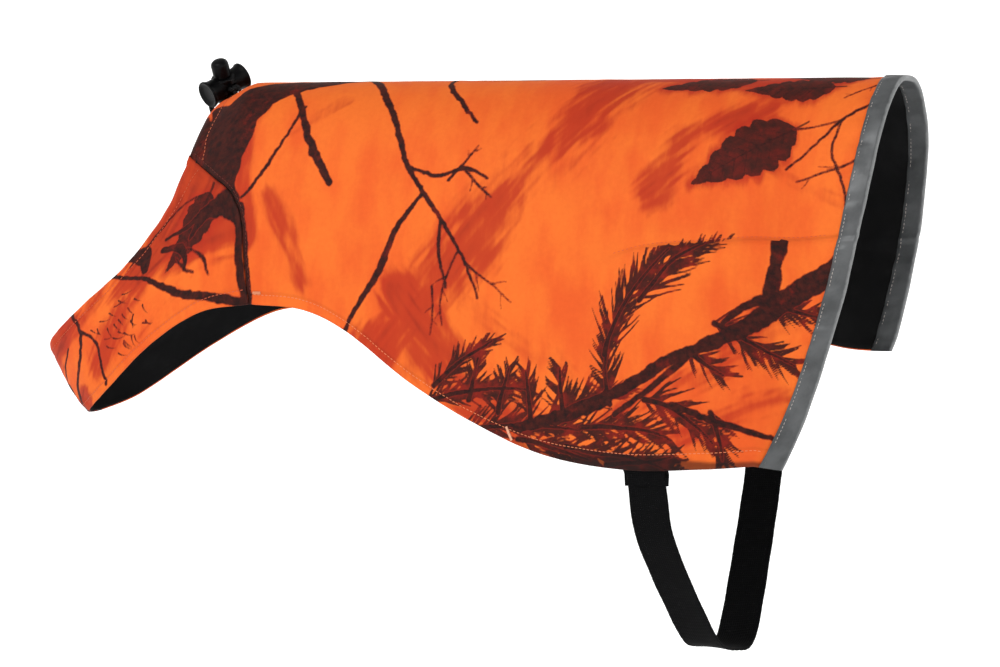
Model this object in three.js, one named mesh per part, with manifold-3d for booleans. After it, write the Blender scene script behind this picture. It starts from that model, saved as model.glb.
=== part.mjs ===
// A blaze orange field vest for a working dog, worn over the back, round the chest and under the belly.
// Units are millimetres. +X runs to the tail, -Y is the near side, +Z is up. The origin lies on the
// lining's inner face, at the middle of the back, where the vest rests on its wearer.
import * as THREE from 'three';
import { mergeVertices } from 'three/addons/utils/BufferGeometryUtils.js';
import Module from 'manifold-3d';

const wasm = await Module();
wasm.setup();

// ---------------------------------------------------------------- driving dimensions

const NAPE_X = -284; // neck edge on the spine
const REAR_X = 262; // rear hem on the spine
const LEG_X = -236; // front end of the lower hem, where the chest panel is sewn on
const REAR_CORNER_X = 170; // where the lower hem runs into the rear tape
const SPINE_FLAT = 6; // half width of the flat strip along the spine
const LINING = 1.0; // lining thickness
const SHELL = 1.2; // printed shell thickness
const PLY_GAP = 0.4; // air between two sewn plies
const SEAM_GAP = 0.5; // half the gap left between panels along a seam
const NECK_ARC = 53; // arc from the spine to where the shoulder seam meets the neck edge
const LEG_ARC = 200; // arc from the spine to the front end of the lower hem
const REAR_ARC_NEAR = 326; // arc of the rear hem from the spine to its near end
const REAR_ARC_FAR = 236; // the same on the far side, which hangs higher
const REAR_HEM_SWEEP = 6.8e-4; // how fast the rear hem runs forward with the square of the arc

const HALF_WIDTH = [ // body half width along X
  [-300, 51], [-284, 57], [-262, 67], [-236, 75], [-190, 80], [-134, 88], [-84, 95],
  [-17, 101], [60, 104], [120, 102], [160, 93], [194, 80], [215, 77], [262, 77],
];
const NEAR_HEM = [ // depth of the near lower hem below the spine, along X
  [-236, 165], [-190, 170], [-150, 188], [-100, 224], [-50, 253], [10, 279], [72, 290], [135, 290],
  [170, 288],
];
const FAR_HEM = [ // depth of the far lower hem, which has ridden up towards the tail
  [-236, 165], [-190, 171], [-150, 178], [-100, 186], [-50, 194], [10, 200], [72, 203], [135, 202],
  [170, 201],
];
const NECK_EDGE = [[0, NAPE_X], [18, -286], [33, -288.5], [NECK_ARC, -295]]; // X along the nape's arc
const SHOULDER_SEAM = [ // X along the shoulder seam's arc
  [NECK_ARC, -295], [72, -283], [93, -269], [114, -253.5], [134, -244], [160, -241.5], [182, -239],
  [LEG_ARC, LEG_X],
];
const NAPE_DIP = { start: -252, run: 30, drop: 16, power: 1.3 }; // how the spine falls at the nape

const CHEST_NECK = [ // neck edge of the chest panel, from the near shoulder to the breast
  [-310, -52, -95], [-337, -56, -133], [-384, -42, -168], [-415, -19, -189], [-424, 0, -196],
];
const CHEST_LEG = [ // leg edge of the chest panel, from the near corner to the breast
  [-274, -74, -172], [-318, -64, -196], [-368, -37, -234], [-387, -15, -245], [-392, 0, -247],
];
const CHEST_BULGE = 5; // how far the chest panel stands out between its edges

const CHANNEL_WIDTH = 11; // drawcord tunnel, measured in from the neck edge
const CHANNEL_DEPTH = 3.8; // how far the tunnel's facing stands in from the shell
const CHANNEL_PLY = 0.8;
const CORD_RADIUS = 1.4;
const CORD_INSET = 5.6; // drawcord's distance from the neck edge
const CORD_OFFSET = -0.7; // drawcord's height over the lining's inner face
const CORD_SIDES = 8;
const STRAND_HALF_GAP = 1.6; // half the distance between the drawcord's two strands
const STRAND_STEPS = 24;

const TAPE_WIDTH = 15;
const TAPE_PLY = 0.6;
const TAPE_GAP = 0.5;
const FOLD_GAP = 1.4; // how far the cloth stops short of the tape's fold

const STRAP_WIDTH = 30;
const STRAP_THICK = 1.4;
const STRAP_LINE = [ // middle of the belly strap between its two sewn ends
  [95, -90, -337], [103, -66, -376], [109, -32, -404], [114, 12, -421], [116.5, 48, -408],
  [117.5, 70, -376], [118, 85, -338], [118, 91, -290], [118, 94, -245],
];
const STRAP_NEAR_X = 88; // middle of the strap's near end
const STRAP_FAR_X = 118;
const STRAP_INSET = 6.8; // how far the strap's sewn ends lie inside the lining
const TAB = { width: 35, thick: 1.6, above: 12, below: 11, gap: 0.6 }; // the strap's sewn-on tabs
const TACK = { length: 11, width: 1.8, thick: 0.8, lift: 0.4 };

const LOCK_PLACE = [-288, 11, 0.6]; // where the drawcord runs through the cord lock
const LOCK_WINGS = [0.5617, 0.6989, 0.4427]; // direction of the finger wings
const LOCK_PRESS = [-0.0425, -0.51, 0.859]; // direction in which the plunger stands out
const BARREL_RADIUS = 9;
const BARREL_TOP = 8;
const BARREL_BOTTOM = -15;
const BARREL_FLOOR = -14;
const WING_REACH = 17.5;
const WING_RADIUS = 8.6;
const WING_RIM = 10.6;
const PLUNGER_RADIUS = 6.8;
const PLUNGER_TOP = 22;
const PLUNGER_FOOT = -4.8;
const PLUNGER_TRAVEL = 5;
const BORE_CLEARANCE = 0.3;
const CORD_SLOT = { width: 7.6, low: -4.2, high: 1.8 };
const PINCH = 1.8; // half height of the gap that the plunger leaves round the cord at rest
const SPRING = { radius: 4.6, wire: 0.4, turns: 4, sides: 6, steps: 14 };
const KNOT = { place: -13.6, radius: 4, length: 3.2 };
const EYELET = { inner: 3.6, outer: 5.8, wall: 0.5, rise: 0, seat: 1.3, thick: 0.8 };

// ---------------------------------------------------------------- small helpers

const vec = (p) => new THREE.Vector3(p[0], p[1], p[2]);

/** A smooth function through knots [x, value], level beyond its ends. */
function through(knots) {
  const slope = (i) => {
    const before = knots[Math.max(i - 1, 0)];
    const after = knots[Math.min(i + 1, knots.length - 1)];
    return (after[1] - before[1]) / (after[0] - before[0]);
  };
  return (x) => {
    if (x <= knots[0][0]) return knots[0][1];
    const last = knots.length - 1;
    if (x >= knots[last][0]) return knots[last][1];
    let i = 0;
    while (x > knots[i + 1][0]) i++;
    const span = knots[i + 1][0] - knots[i][0];
    const t = (x - knots[i][0]) / span;
    const rise = knots[i + 1][1] - knots[i][1];
    const a = slope(i) * span - rise;
    const b = rise - slope(i + 1) * span;
    return knots[i][1] + t * rise + t * (1 - t) * (a * (1 - t) + b * t);
  };
}

/** Evenly spaced numbers from a to b. */
const steps = (a, b, count) => Array.from({ length: count + 1 }, (_, i) => a + ((b - a) * i) / count);

/** A closed geometry from its points and faces, turned so that its faces point out. */
function solid(points, faces) {
  let volume = 0;
  for (const [a, b, c] of faces) {
    volume += points[a].dot(new THREE.Vector3().crossVectors(points[b], points[c]));
  }
  const geometry = new THREE.BufferGeometry();
  geometry.setAttribute('position', new THREE.Float32BufferAttribute(points.flatMap((p) => [p.x, p.y, p.z]), 3));
  geometry.setIndex(faces.flatMap(([a, b, c]) => (volume > 0 ? [a, b, c] : [a, c, b])));
  return geometry;
}

/** A sheet of cloth: the surface over a grid of (u, v), thick from offset low to offset high. */
function ply(surface, us, vs, low, high) {
  const points = [];
  const faces = [];
  const rows = vs.length;
  const top = us.length * rows;
  const offsets = [high, low];
  for (const offset of offsets) {
    for (const u of us) {
      for (const v of vs) points.push(surface(u, v, typeof offset === 'function' ? offset(u, v) : offset));
    }
  }
  const quad = (a, b, c, d) => faces.push([a, b, c], [a, c, d]);
  const at = (i, j) => i * rows + j;
  for (let i = 0; i < us.length - 1; i++) {
    for (let j = 0; j < rows - 1; j++) {
      quad(at(i, j), at(i + 1, j), at(i + 1, j + 1), at(i, j + 1));
      quad(top + at(i, j), top + at(i, j + 1), top + at(i + 1, j + 1), top + at(i + 1, j));
    }
  }
  const rim = [];
  for (let i = 0; i < us.length - 1; i++) rim.push(at(i, 0));
  for (let j = 0; j < rows - 1; j++) rim.push(at(us.length - 1, j));
  for (let i = us.length - 1; i > 0; i--) rim.push(at(i, rows - 1));
  for (let j = rows - 1; j > 0; j--) rim.push(at(0, j));
  rim.forEach((a, k) => {
    const b = rim[(k + 1) % rim.length];
    quad(a, top + a, top + b, b);
  });
  return solid(points, faces);
}

/** A profile of [across, up] points carried along rings of a route, with flat ends. */
function swept(profile, placeAt, count) {
  const points = [];
  const faces = [];
  const n = profile.length;
  for (let i = 0; i < count; i++) {
    for (const [across, up] of profile) points.push(placeAt(i, across, up));
  }
  for (let i = 0; i < count - 1; i++) {
    for (let k = 0; k < n; k++) {
      const a = i * n + k;
      const b = i * n + ((k + 1) % n);
      faces.push([a, b, b + n], [a, b + n, a + n]);
    }
  }
  const outline = profile.map(([x, y]) => new THREE.Vector2(x, y));
  const clockwise = THREE.ShapeUtils.isClockWise(outline);
  for (const [a, b, c] of THREE.ShapeUtils.triangulateShape(outline, [])) {
    const far = (count - 1) * n;
    faces.push(clockwise ? [a, b, c] : [a, c, b]);
    faces.push(clockwise ? [far + a, far + c, far + b] : [far + a, far + b, far + c]);
  }
  return solid(points, faces);
}

/** A round cord or wire along a list of points. */
function tube(route, radius, sides) {
  const tangent = (i) => {
    const before = route[Math.max(i - 1, 0)];
    const after = route[Math.min(i + 1, route.length - 1)];
    return after.clone().sub(before).normalize();
  };
  const across = [];
  let side = new THREE.Vector3(0.3, 0.5, 0.81);
  for (let i = 0; i < route.length; i++) {
    const along = tangent(i);
    side = side.clone().addScaledVector(along, -side.dot(along)).normalize();
    across.push([side, new THREE.Vector3().crossVectors(along, side)]);
  }
  const circle = Array.from({ length: sides }, (_, k) => {
    const turn = (2 * Math.PI * k) / sides;
    return [radius * Math.cos(turn), radius * Math.sin(turn)];
  });
  const placeAt = (i, a, b) => route[i].clone().addScaledVector(across[i][0], a).addScaledVector(across[i][1], b);
  return swept(circle, placeAt, route.length);
}

/** A lathe about the local Z axis from [radius, height] points. */
function turned(profile, segments) {
  const outline = profile.map(([radius, height]) => new THREE.Vector2(radius, height));
  return new THREE.LatheGeometry(outline, segments).rotateX(Math.PI / 2);
}

function toManifold(geometry) {
  const bare = geometry.clone();
  bare.deleteAttribute('normal');
  bare.deleteAttribute('uv');
  const merged = mergeVertices(bare, 1e-4);
  const solidMesh = new wasm.Mesh({
    numProp: 3,
    vertProperties: new Float32Array(merged.attributes.position.array),
    triVerts: new Uint32Array(merged.index.array),
  });
  solidMesh.merge();
  return new wasm.Manifold(solidMesh);
}

function fromManifold(body) {
  const made = body.getMesh();
  const geometry = new THREE.BufferGeometry();
  geometry.setAttribute('position', new THREE.BufferAttribute(made.vertProperties, 3));
  geometry.setIndex(new THREE.BufferAttribute(made.triVerts, 1));
  return geometry;
}

// ---------------------------------------------------------------- the body's surface

const halfWidth = through(HALF_WIDTH);
const nearHemDepth = through(NEAR_HEM);
const farHemDepth = through(FAR_HEM);
const neckEdgeX = through(NECK_EDGE);
const shoulderSeamX = through(SHOULDER_SEAM);

/** Half of an arch of unit size, by arc: it turns down fast at first and ends upright. */
const ARCH_STEP = 0.01;
const ARCH_REACH = 9;
const arch = (() => {
  const across = [0];
  const down = [0];
  for (let i = 0; i * ARCH_STEP < ARCH_REACH; i++) {
    const lean = (Math.PI / 2) * (1 - Math.exp(-(i + 0.5) * ARCH_STEP));
    across.push(across[i] + Math.cos(lean) * ARCH_STEP);
    down.push(down[i] + Math.sin(lean) * ARCH_STEP);
  }
  return { across, down };
})();
const ARCH_WIDTH = arch.across[arch.across.length - 1];

function readArch(table, arc) {
  const i = Math.floor(arc / ARCH_STEP);
  const share = arc / ARCH_STEP - i;
  return table[i] * (1 - share) + table[i + 1] * share;
}

const archScale = (x) => (halfWidth(x) - SPINE_FLAT) / ARCH_WIDTH;

function spineHeight(x) {
  const past = Math.max(0, NAPE_DIP.start - x) / NAPE_DIP.run;
  return -NAPE_DIP.drop * past ** NAPE_DIP.power;
}

/** The body at X and at arc s from the spine, negative on the near side. */
function bodyPoint(x, s) {
  const side = Math.sign(s);
  const arc = Math.abs(s) - SPINE_FLAT;
  if (arc <= 0) return new THREE.Vector3(x, s, spineHeight(x));
  const scale = archScale(x);
  const y = SPINE_FLAT + scale * readArch(arch.across, arc / scale);
  return new THREE.Vector3(x, side * y, spineHeight(x) - scale * readArch(arch.down, arc / scale));
}

/** The arc at which the body is as deep as given below the spine. */
function arcAtDepth(x, depth) {
  const scale = archScale(x);
  let i = 0;
  while (arch.down[i] * scale < depth) i++;
  return SPINE_FLAT + i * ARCH_STEP * scale;
}

/** A surface's point moved out by an offset along its normal. */
function lifted(pointAt, u, v, du, dv, offset) {
  const alongU = pointAt(u + du, v).sub(pointAt(u - du, v));
  const alongV = pointAt(u, v + dv).sub(pointAt(u, v - dv));
  const normal = new THREE.Vector3().crossVectors(alongU, alongV).normalize();
  return pointAt(u, v).addScaledVector(normal, offset);
}

const onBody = (x, s, offset) => lifted(bodyPoint, x, s, 0.5, 0.5, offset);

/** The front boundary of the back panel: the neck edge, then the shoulder seam. */
const frontX = (s) => (Math.abs(s) <= NECK_ARC ? neckEdgeX(Math.abs(s)) : shoulderSeamX(Math.abs(s)));
const rearX = (s) => REAR_X - REAR_HEM_SWEEP * s * s;

/** The arc of the lower hem at X, on the side that v has. */
function hemArc(x, v) {
  if (x <= LEG_X) return LEG_ARC;
  if (x >= REAR_CORNER_X) return v < 0 ? REAR_ARC_NEAR : REAR_ARC_FAR;
  const front = arcAtDepth(LEG_X, nearHemDepth(LEG_X));
  const depth = v < 0 ? nearHemDepth(x) : farHemDepth(x);
  const rear = arcAtDepth(REAR_CORNER_X, v < 0 ? nearHemDepth(REAR_CORNER_X) : farHemDepth(REAR_CORNER_X));
  const share = (x - LEG_X) / (REAR_CORNER_X - LEG_X);
  const endShift = (LEG_ARC - front) * (1 - share) + ((v < 0 ? REAR_ARC_NEAR : REAR_ARC_FAR) - rear) * share;
  return arcAtDepth(x, depth) + endShift;
}

/** Arc at share v of the way from the spine strip to the hem, signed by side. */
const arcOf = (v, reach) => Math.sign(v) * (SPINE_FLAT + ((Math.abs(v) - SPINE_V) / (1 - SPINE_V)) * (reach - SPINE_FLAT));
const SPINE_V = 0.02; // v at the edge of the flat strip

/** X at a distance in from the rear hem, square to it. */
const inFromRear = (distance, s) => rearX(s) - distance * Math.hypot(1, 2 * REAR_HEM_SWEEP * s);

/**
 * The back panel over u from the front (0) to the tape's inner edge (1) and on to the fold (2),
 * and v from the near hem (-1) to the far hem (1).
 */
function backPanel(u, v, offset) {
  const front = frontX(arcOf(v, LEG_ARC)) + SEAM_GAP;
  const rearArc = arcOf(v, v < 0 ? REAR_ARC_NEAR : REAR_ARC_FAR);
  const tapeEdge = inFromRear(TAPE_WIDTH, rearArc);
  if (u > 1) return onBody(tapeEdge + (inFromRear(FOLD_GAP, rearArc) - tapeEdge) * (u - 1), rearArc, offset);
  const x = front + (tapeEdge - front) * u;
  return onBody(x, arcOf(v, hemArc(x, v)), offset);
}

const NECK_V = SPINE_V + ((NECK_ARC - SPINE_FLAT) / (LEG_ARC - SPINE_FLAT)) * (1 - SPINE_V);
const HALF_V = [
  SPINE_V, SPINE_V + (NECK_V - SPINE_V) * 0.25, SPINE_V + (NECK_V - SPINE_V) * 0.5,
  SPINE_V + (NECK_V - SPINE_V) * 0.75, NECK_V, 0.33, 0.42, 0.53, 0.67, 0.83, 1,
];
const PANEL_V = [...HALF_V.map((v) => -v).reverse(), ...HALF_V];
const PANEL_U = [0, 0.03, ...steps(0.085, 1, 15), 2];
const FACING_END = NECK_ARC - 2;
const NAPE_ARCS = PANEL_V.filter((v) => Math.abs(v) < NECK_V - 0.01).map((v) => arcOf(v, LEG_ARC));
const FACING_ARCS = [-FACING_END, ...NAPE_ARCS, FACING_END];

// ---------------------------------------------------------------- the chest's surface

/** A curve across the chest, from the near end over the breast to the mirrored far end. */
function acrossChest(nearEnd, nearHalf) {
  const half = [nearEnd, ...nearHalf.map(vec)];
  const mirrored = half.slice(0, -1).reverse().map((p) => new THREE.Vector3(p.x, -p.y, p.z));
  return new THREE.CatmullRomCurve3([...half, ...mirrored], false, 'centripetal');
}

const chestNeck = acrossChest(bodyPoint(frontX(NECK_ARC), -NECK_ARC), CHEST_NECK);
const chestLeg = acrossChest(bodyPoint(LEG_X, -LEG_ARC), CHEST_LEG);

/** The shoulder seam at share w from the neck edge to the leg corner. */
function seamPoint(w, side) {
  const s = NECK_ARC + (LEG_ARC - NECK_ARC) * w;
  return bodyPoint(shoulderSeamX(s), side * s);
}

const SEAM_DECAY = 4; // how fast the seam's own curve fades across the chest

function chestBase(t, w) {
  const tc = Math.min(Math.max(t, 0), 1);
  const neck = chestNeck.getPoint(tc);
  const leg = chestLeg.getPoint(tc);
  const point = neck.clone().lerp(leg, w);
  for (const [side, nearness] of [[-1, 1 - tc], [1, tc]]) {
    const end = side < 0 ? 0 : 1;
    const chord = chestNeck.getPoint(end).lerp(chestLeg.getPoint(end), w);
    const bow = seamPoint(Math.min(Math.max(w, 0), 1), side).sub(chord);
    point.addScaledVector(bow, nearness ** SEAM_DECAY);
  }
  return point;
}

/** The chest panel over t from the near seam to the far seam and w from the neck edge to the leg edge. */
function chestPanel(t, w, offset) {
  const bulge = CHEST_BULGE * 4 * w * (1 - w) * Math.sin(Math.PI * t);
  return lifted(chestBase, t, w, 1e-3, 1e-3, offset + bulge);
}

const SEAM_T = 0.004; // share of the chest's breadth left open at each shoulder seam
const CHANNEL_W = 0.16; // tunnel's width as a share of the chest panel's
const CHEST_T = steps(SEAM_T, 1 - SEAM_T, 28);
const CHEST_W = [0.01, CHANNEL_W / 2, CHANNEL_W, CHANNEL_W + 0.07, 0.42, 0.61, 0.8, 1];

// ---------------------------------------------------------------- cloth pieces

const SHELL_LOW = LINING + PLY_GAP;
const SHELL_HIGH = SHELL_LOW + SHELL;

/** Height of the tunnel's facing over its width, from 0 at the neck edge to 1 at its stitching. */
const channelRise = (share) => SHELL_LOW - PLY_GAP - CHANNEL_DEPTH * Math.sin(Math.PI * share) ** 0.7;

function backPanelPiece() {
  return ply(backPanel, PANEL_U, PANEL_V, SHELL_LOW, SHELL_HIGH);
}

function backLiningPiece() {
  return ply(backPanel, PANEL_U.slice(1), PANEL_V, 0, LINING);
}

function chestPanelPiece() {
  return ply(chestPanel, CHEST_T, CHEST_W, SHELL_LOW, SHELL_HIGH);
}

function chestLiningPiece() {
  return ply(chestPanel, CHEST_T, CHEST_W.slice(3), 0, LINING);
}

/** The back panel's surface measured in from the neck edge along X. */
const fromNeckEdge = (d, s, offset) => onBody(frontX(s) + d, s, offset);

function napeFacingPiece() {
  const distances = steps(1.2, CHANNEL_WIDTH, 6);
  const share = (d) => (d - 1.2) / (CHANNEL_WIDTH - 1.2);
  const high = (d) => channelRise(share(d));
  const low = (d) => channelRise(share(d)) - CHANNEL_PLY;
  const strip = ply(fromNeckEdge, distances, FACING_ARCS, low, high);
  const hole = new THREE.CylinderGeometry(EYELET.inner + 1.2, EYELET.inner + 1.2, 12, 20);
  hole.rotateX(Math.PI / 2).applyMatrix4(exitFrame());
  return fromManifold(toManifold(strip).subtract(toManifold(hole)));
}

function chestFacingPiece() {
  const ts = CHEST_T.slice(1, -1);
  const ws = steps(0.02, CHANNEL_W, 6);
  const share = (w) => (w - 0.02) / (CHANNEL_W - 0.02);
  const high = (t, w) => channelRise(share(w));
  const low = (t, w) => channelRise(share(w)) - CHANNEL_PLY;
  return ply(chestPanel, ts, ws, low, high);
}

/** The folded tape's U section, as [distance in from the hem, offset from the lining's inner face]. */
function tapeSection() {
  const top = SHELL_HIGH + TAPE_GAP + TAPE_PLY;
  const bottom = -TAPE_GAP - TAPE_PLY;
  return [
    [0, bottom], [0, top], [TAPE_WIDTH, top], [TAPE_WIDTH, top - TAPE_PLY],
    [TAPE_PLY, top - TAPE_PLY], [TAPE_PLY, bottom + TAPE_PLY], [TAPE_WIDTH, bottom + TAPE_PLY],
    [TAPE_WIDTH, bottom],
  ];
}

function rearTapePiece() {
  const arcs = PANEL_V.map((v) => arcOf(v, v < 0 ? REAR_ARC_NEAR : REAR_ARC_FAR));
  const placeAt = (i, across, up) => onBody(inFromRear(across, arcs[i]), arcs[i], up);
  return swept(tapeSection(), placeAt, arcs.length);
}

// ---------------------------------------------------------------- belly strap

function bellyStrapPiece() {
  const sewn = (x, side, below) => onBody(x, side * (hemArc(x, side) + below), -STRAP_INSET);
  const knots = [
    sewn(STRAP_NEAR_X, -1, -TAB.above), sewn(STRAP_NEAR_X, -1, TAB.below), ...STRAP_LINE.map(vec),
    sewn(STRAP_FAR_X, 1, TAB.below), sewn(STRAP_FAR_X, 1, -TAB.above),
  ];
  const curve = new THREE.CatmullRomCurve3(knots, false, 'centripetal');
  const count = 40;
  const route = curve.getSpacedPoints(count);
  const placeAt = (i, across, up) => {
    const along = curve.getTangentAt(i / count);
    const width = new THREE.Vector3(1, 0, 0).addScaledVector(along, -along.x).normalize();
    const face = new THREE.Vector3().crossVectors(along, width);
    return route[i].clone().addScaledVector(width, across).addScaledVector(face, up);
  };
  const half = STRAP_WIDTH / 2;
  const thin = STRAP_THICK / 2;
  return swept([[-half, -thin], [half, -thin], [half, thin], [-half, thin]], placeAt, count + 1);
}

/** A tab of webbing under the hem, into which one end of the strap is sewn. */
function tabPiece(x, side) {
  const hem = hemArc(x, side);
  const arcs = [hem - TAB.above, hem, hem + TAB.below].map((s) => side * s);
  return ply(onBody, steps(x - TAB.width / 2, x + TAB.width / 2, 2), arcs, -TAB.gap - TAB.thick, -TAB.gap);
}

/** A bar-tack: a short block of thread lying on the shell, turned by an angle in its face. */
function tackPiece(centre, outward, turn) {
  const block = new THREE.BoxGeometry(TACK.length, TACK.width, TACK.thick);
  const normal = outward.clone().normalize();
  const along = new THREE.Vector3(1, 0, 0).addScaledVector(normal, -normal.x).normalize();
  const frame = new THREE.Matrix4().makeBasis(along, new THREE.Vector3().crossVectors(normal, along), normal);
  block.rotateZ(turn).applyMatrix4(frame.setPosition(centre));
  return block;
}

function shellTack(x, s, turn) {
  const lift = SHELL_HIGH + TACK.lift + TACK.thick / 2;
  const centre = onBody(x, s, lift);
  return tackPiece(centre, centre.clone().sub(onBody(x, s, 0)), turn);
}

// ---------------------------------------------------------------- drawcord and cord lock

const lockX = vec(LOCK_WINGS).normalize();
const lockZ = vec(LOCK_PRESS).addScaledVector(lockX, -vec(LOCK_PRESS).dot(lockX)).normalize();
const lockY = new THREE.Vector3().crossVectors(lockZ, lockX);
const lockFrame = new THREE.Matrix4().makeBasis(lockX, lockY, lockZ).setPosition(vec(LOCK_PLACE));
const fromLock = (x, y, z) => new THREE.Vector3(x, y, z).applyMatrix4(lockFrame);

/** Where the drawcord leaves its tunnel, with Z along the way out. */
function exitFrame() {
  const mouth = fromNeckEdge(CORD_INSET, 0, channelRise(0.5));
  const inward = fromNeckEdge(CORD_INSET, 0, -1).sub(fromNeckEdge(CORD_INSET, 0, 1)).normalize();
  const across = new THREE.Vector3(0, 1, 0);
  return new THREE.Matrix4().makeBasis(across, new THREE.Vector3().crossVectors(inward, across), inward)
    .setPosition(mouth);
}

/** One of the two strands, from the knot through the lock and down to its tunnel. side is -1 or 1. */
function strand(side) {
  const half = side * STRAND_HALF_GAP;
  const straight = [KNOT.place + KNOT.length / 2 + 0.3, -4, 4, 13].map((y) => fromLock(half, y, 0));
  const turning = [[15.4, -0.8], [17, -3], [17, -6.5]].map(([y, z]) => fromLock(half, y, z));
  const exit = exitFrame();
  const leave = (down) => new THREE.Vector3(half, 0, down).applyMatrix4(exit);
  const falling = [[-299.5, 12, -14], [-295, 7.5, -22.5], [-287.5, 2.5, -26], [-279.5, 0.2, -24.4]];
  const knots = [
    ...straight, ...turning, ...falling.map(([x, y, z]) => new THREE.Vector3(x, y + half, z)),
    leave(4.4), leave(1), leave(-1), leave(-2.1),
  ];
  knots[knots.length - 1].y += side * 2.6;
  return new THREE.CatmullRomCurve3(knots, false, 'centripetal').getSpacedPoints(STRAND_STEPS);
}

/** The whole drawcord: down from the lock, round the neck inside its tunnel and back up. */
function drawcordPiece() {
  const inNape = FACING_ARCS.filter((s) => s > SPINE_FLAT + 1);
  const napeAt = (s) => fromNeckEdge(CORD_INSET, s, CORD_OFFSET);
  const chestAt = (t) => chestPanel(t, CHANNEL_W / 2, CORD_OFFSET);
  const route = [
    ...strand(-1), ...inNape.map((s) => napeAt(-s)), ...CHEST_T.map(chestAt), ...inNape.map(napeAt).reverse(),
    ...strand(1).reverse(),
  ];
  return tube(route, CORD_RADIUS, CORD_SIDES);
}

function knotPiece() {
  const { radius, length } = KNOT;
  const half = length / 2;
  const profile = [
    [0, -half - 1], [radius * 0.6, -half - 0.6], [radius, -half * 0.3], [radius, half * 0.3],
    [radius * 0.7, half], [0, half],
  ];
  return turned(profile, 16).rotateX(-Math.PI / 2).translate(0, KNOT.place, 0);
}

function eyeletPiece() {
  const { inner, outer, wall, rise, seat, thick } = EYELET;
  const profile = [
    [inner, -rise], [inner + wall, -rise], [inner + wall, seat], [outer, seat], [outer, seat + thick],
    [inner, seat + thick], [inner, -rise],
  ];
  return turned(profile, 20).applyMatrix4(exitFrame());
}

function barrelPiece() {
  const body = turned([
    [0, BARREL_BOTTOM], [6, BARREL_BOTTOM], [8.2, BARREL_BOTTOM + 1.2], [BARREL_RADIUS, BARREL_BOTTOM + 3.4],
    [BARREL_RADIUS, BARREL_TOP - 1.6], [BARREL_RADIUS - 0.6, BARREL_TOP - 0.4],
    [BARREL_RADIUS - 1.2, BARREL_TOP], [0, BARREL_TOP],
  ], 28);
  const half = [[0, WING_REACH - 1.8], [7, WING_REACH - 1.8], [9, WING_REACH], [WING_RIM - 0.4, WING_REACH],
    [WING_RIM, WING_REACH - 0.8], [WING_RIM - 0.2, WING_REACH - 2], [WING_RADIUS, WING_REACH - 3.2],
    [WING_RADIUS - 0.4, WING_REACH / 2]];
  const wingProfile = [...half.map(([radius, x]) => [radius, -x]), ...half.reverse()];
  const wings = turned(wingProfile, 28).rotateY(Math.PI / 2);
  const bore = turned([
    [0, BARREL_FLOOR], [PLUNGER_RADIUS + BORE_CLEARANCE, BARREL_FLOOR],
    [PLUNGER_RADIUS + BORE_CLEARANCE, BARREL_TOP + WING_RIM], [0, BARREL_TOP + WING_RIM],
  ], 28);
  const slotHeight = CORD_SLOT.high - CORD_SLOT.low;
  const slot = new THREE.BoxGeometry(CORD_SLOT.width, 30, slotHeight);
  slot.translate(0, 0, (CORD_SLOT.high + CORD_SLOT.low) / 2);
  const whole = toManifold(body).add(toManifold(wings));
  return fromManifold(whole.subtract(toManifold(bore)).subtract(toManifold(slot)));
}

function plungerPiece() {
  const body = turned([
    [0, PLUNGER_FOOT], [PLUNGER_RADIUS - 0.5, PLUNGER_FOOT], [PLUNGER_RADIUS, PLUNGER_FOOT + 0.5],
    [PLUNGER_RADIUS, PLUNGER_TOP - 3.4], [PLUNGER_RADIUS * 0.92, PLUNGER_TOP - 1.8],
    [PLUNGER_RADIUS * 0.72, PLUNGER_TOP - 0.6], [PLUNGER_RADIUS * 0.4, PLUNGER_TOP], [0, PLUNGER_TOP],
  ], 26);
  const window = new THREE.BoxGeometry(CORD_SLOT.width, 30, 2 * PINCH + PLUNGER_TRAVEL);
  window.translate(0, 0, PLUNGER_TRAVEL / 2);
  return fromManifold(toManifold(body).subtract(toManifold(window)));
}

function springPiece() {
  const low = BARREL_FLOOR + SPRING.wire + 0.3;
  const high = PLUNGER_FOOT - SPRING.wire - 0.3;
  const count = SPRING.turns * SPRING.steps;
  const route = steps(0, 1, count).map((share) => {
    const turn = 2 * Math.PI * SPRING.turns * share;
    return new THREE.Vector3(
      SPRING.radius * Math.cos(turn), SPRING.radius * Math.sin(turn), low + (high - low) * share,
    );
  });
  return tube(route, SPRING.wire, SPRING.sides);
}

// ---------------------------------------------------------------- materials and assembly

const finish = (color, roughness, metalness = 0) => new THREE.MeshStandardMaterial({ color, roughness, metalness });
const BLAZE = finish(0xf4682a, 0.8);
const BLACK_CLOTH = finish(0x0c0c0d, 0.9);
const WEBBING = finish(0x111112, 0.85);
const REFLECTIVE = finish(0x858b8c, 0.35, 0.3);
const THREAD = finish(0xe9a27c, 0.7);
const BLACK_PLASTIC = finish(0x141415, 0.4);
const STEEL = finish(0x9a9c9e, 0.3, 1);

const vest = new THREE.Group();

function addPiece(parent, name, geometry, material) {
  const mesh = new THREE.Mesh(geometry, material);
  mesh.name = name;
  parent.add(mesh);
}

addPiece(vest, 'back_panel', backPanelPiece(), BLAZE);
addPiece(vest, 'back_lining', backLiningPiece(), BLACK_CLOTH);
addPiece(vest, 'chest_panel', chestPanelPiece(), BLAZE);
addPiece(vest, 'chest_lining', chestLiningPiece(), BLACK_CLOTH);
addPiece(vest, 'nape_channel_facing', napeFacingPiece(), BLACK_CLOTH);
addPiece(vest, 'chest_channel_facing', chestFacingPiece(), BLACK_CLOTH);
addPiece(vest, 'rear_reflective_binding', rearTapePiece(), REFLECTIVE);

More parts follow.
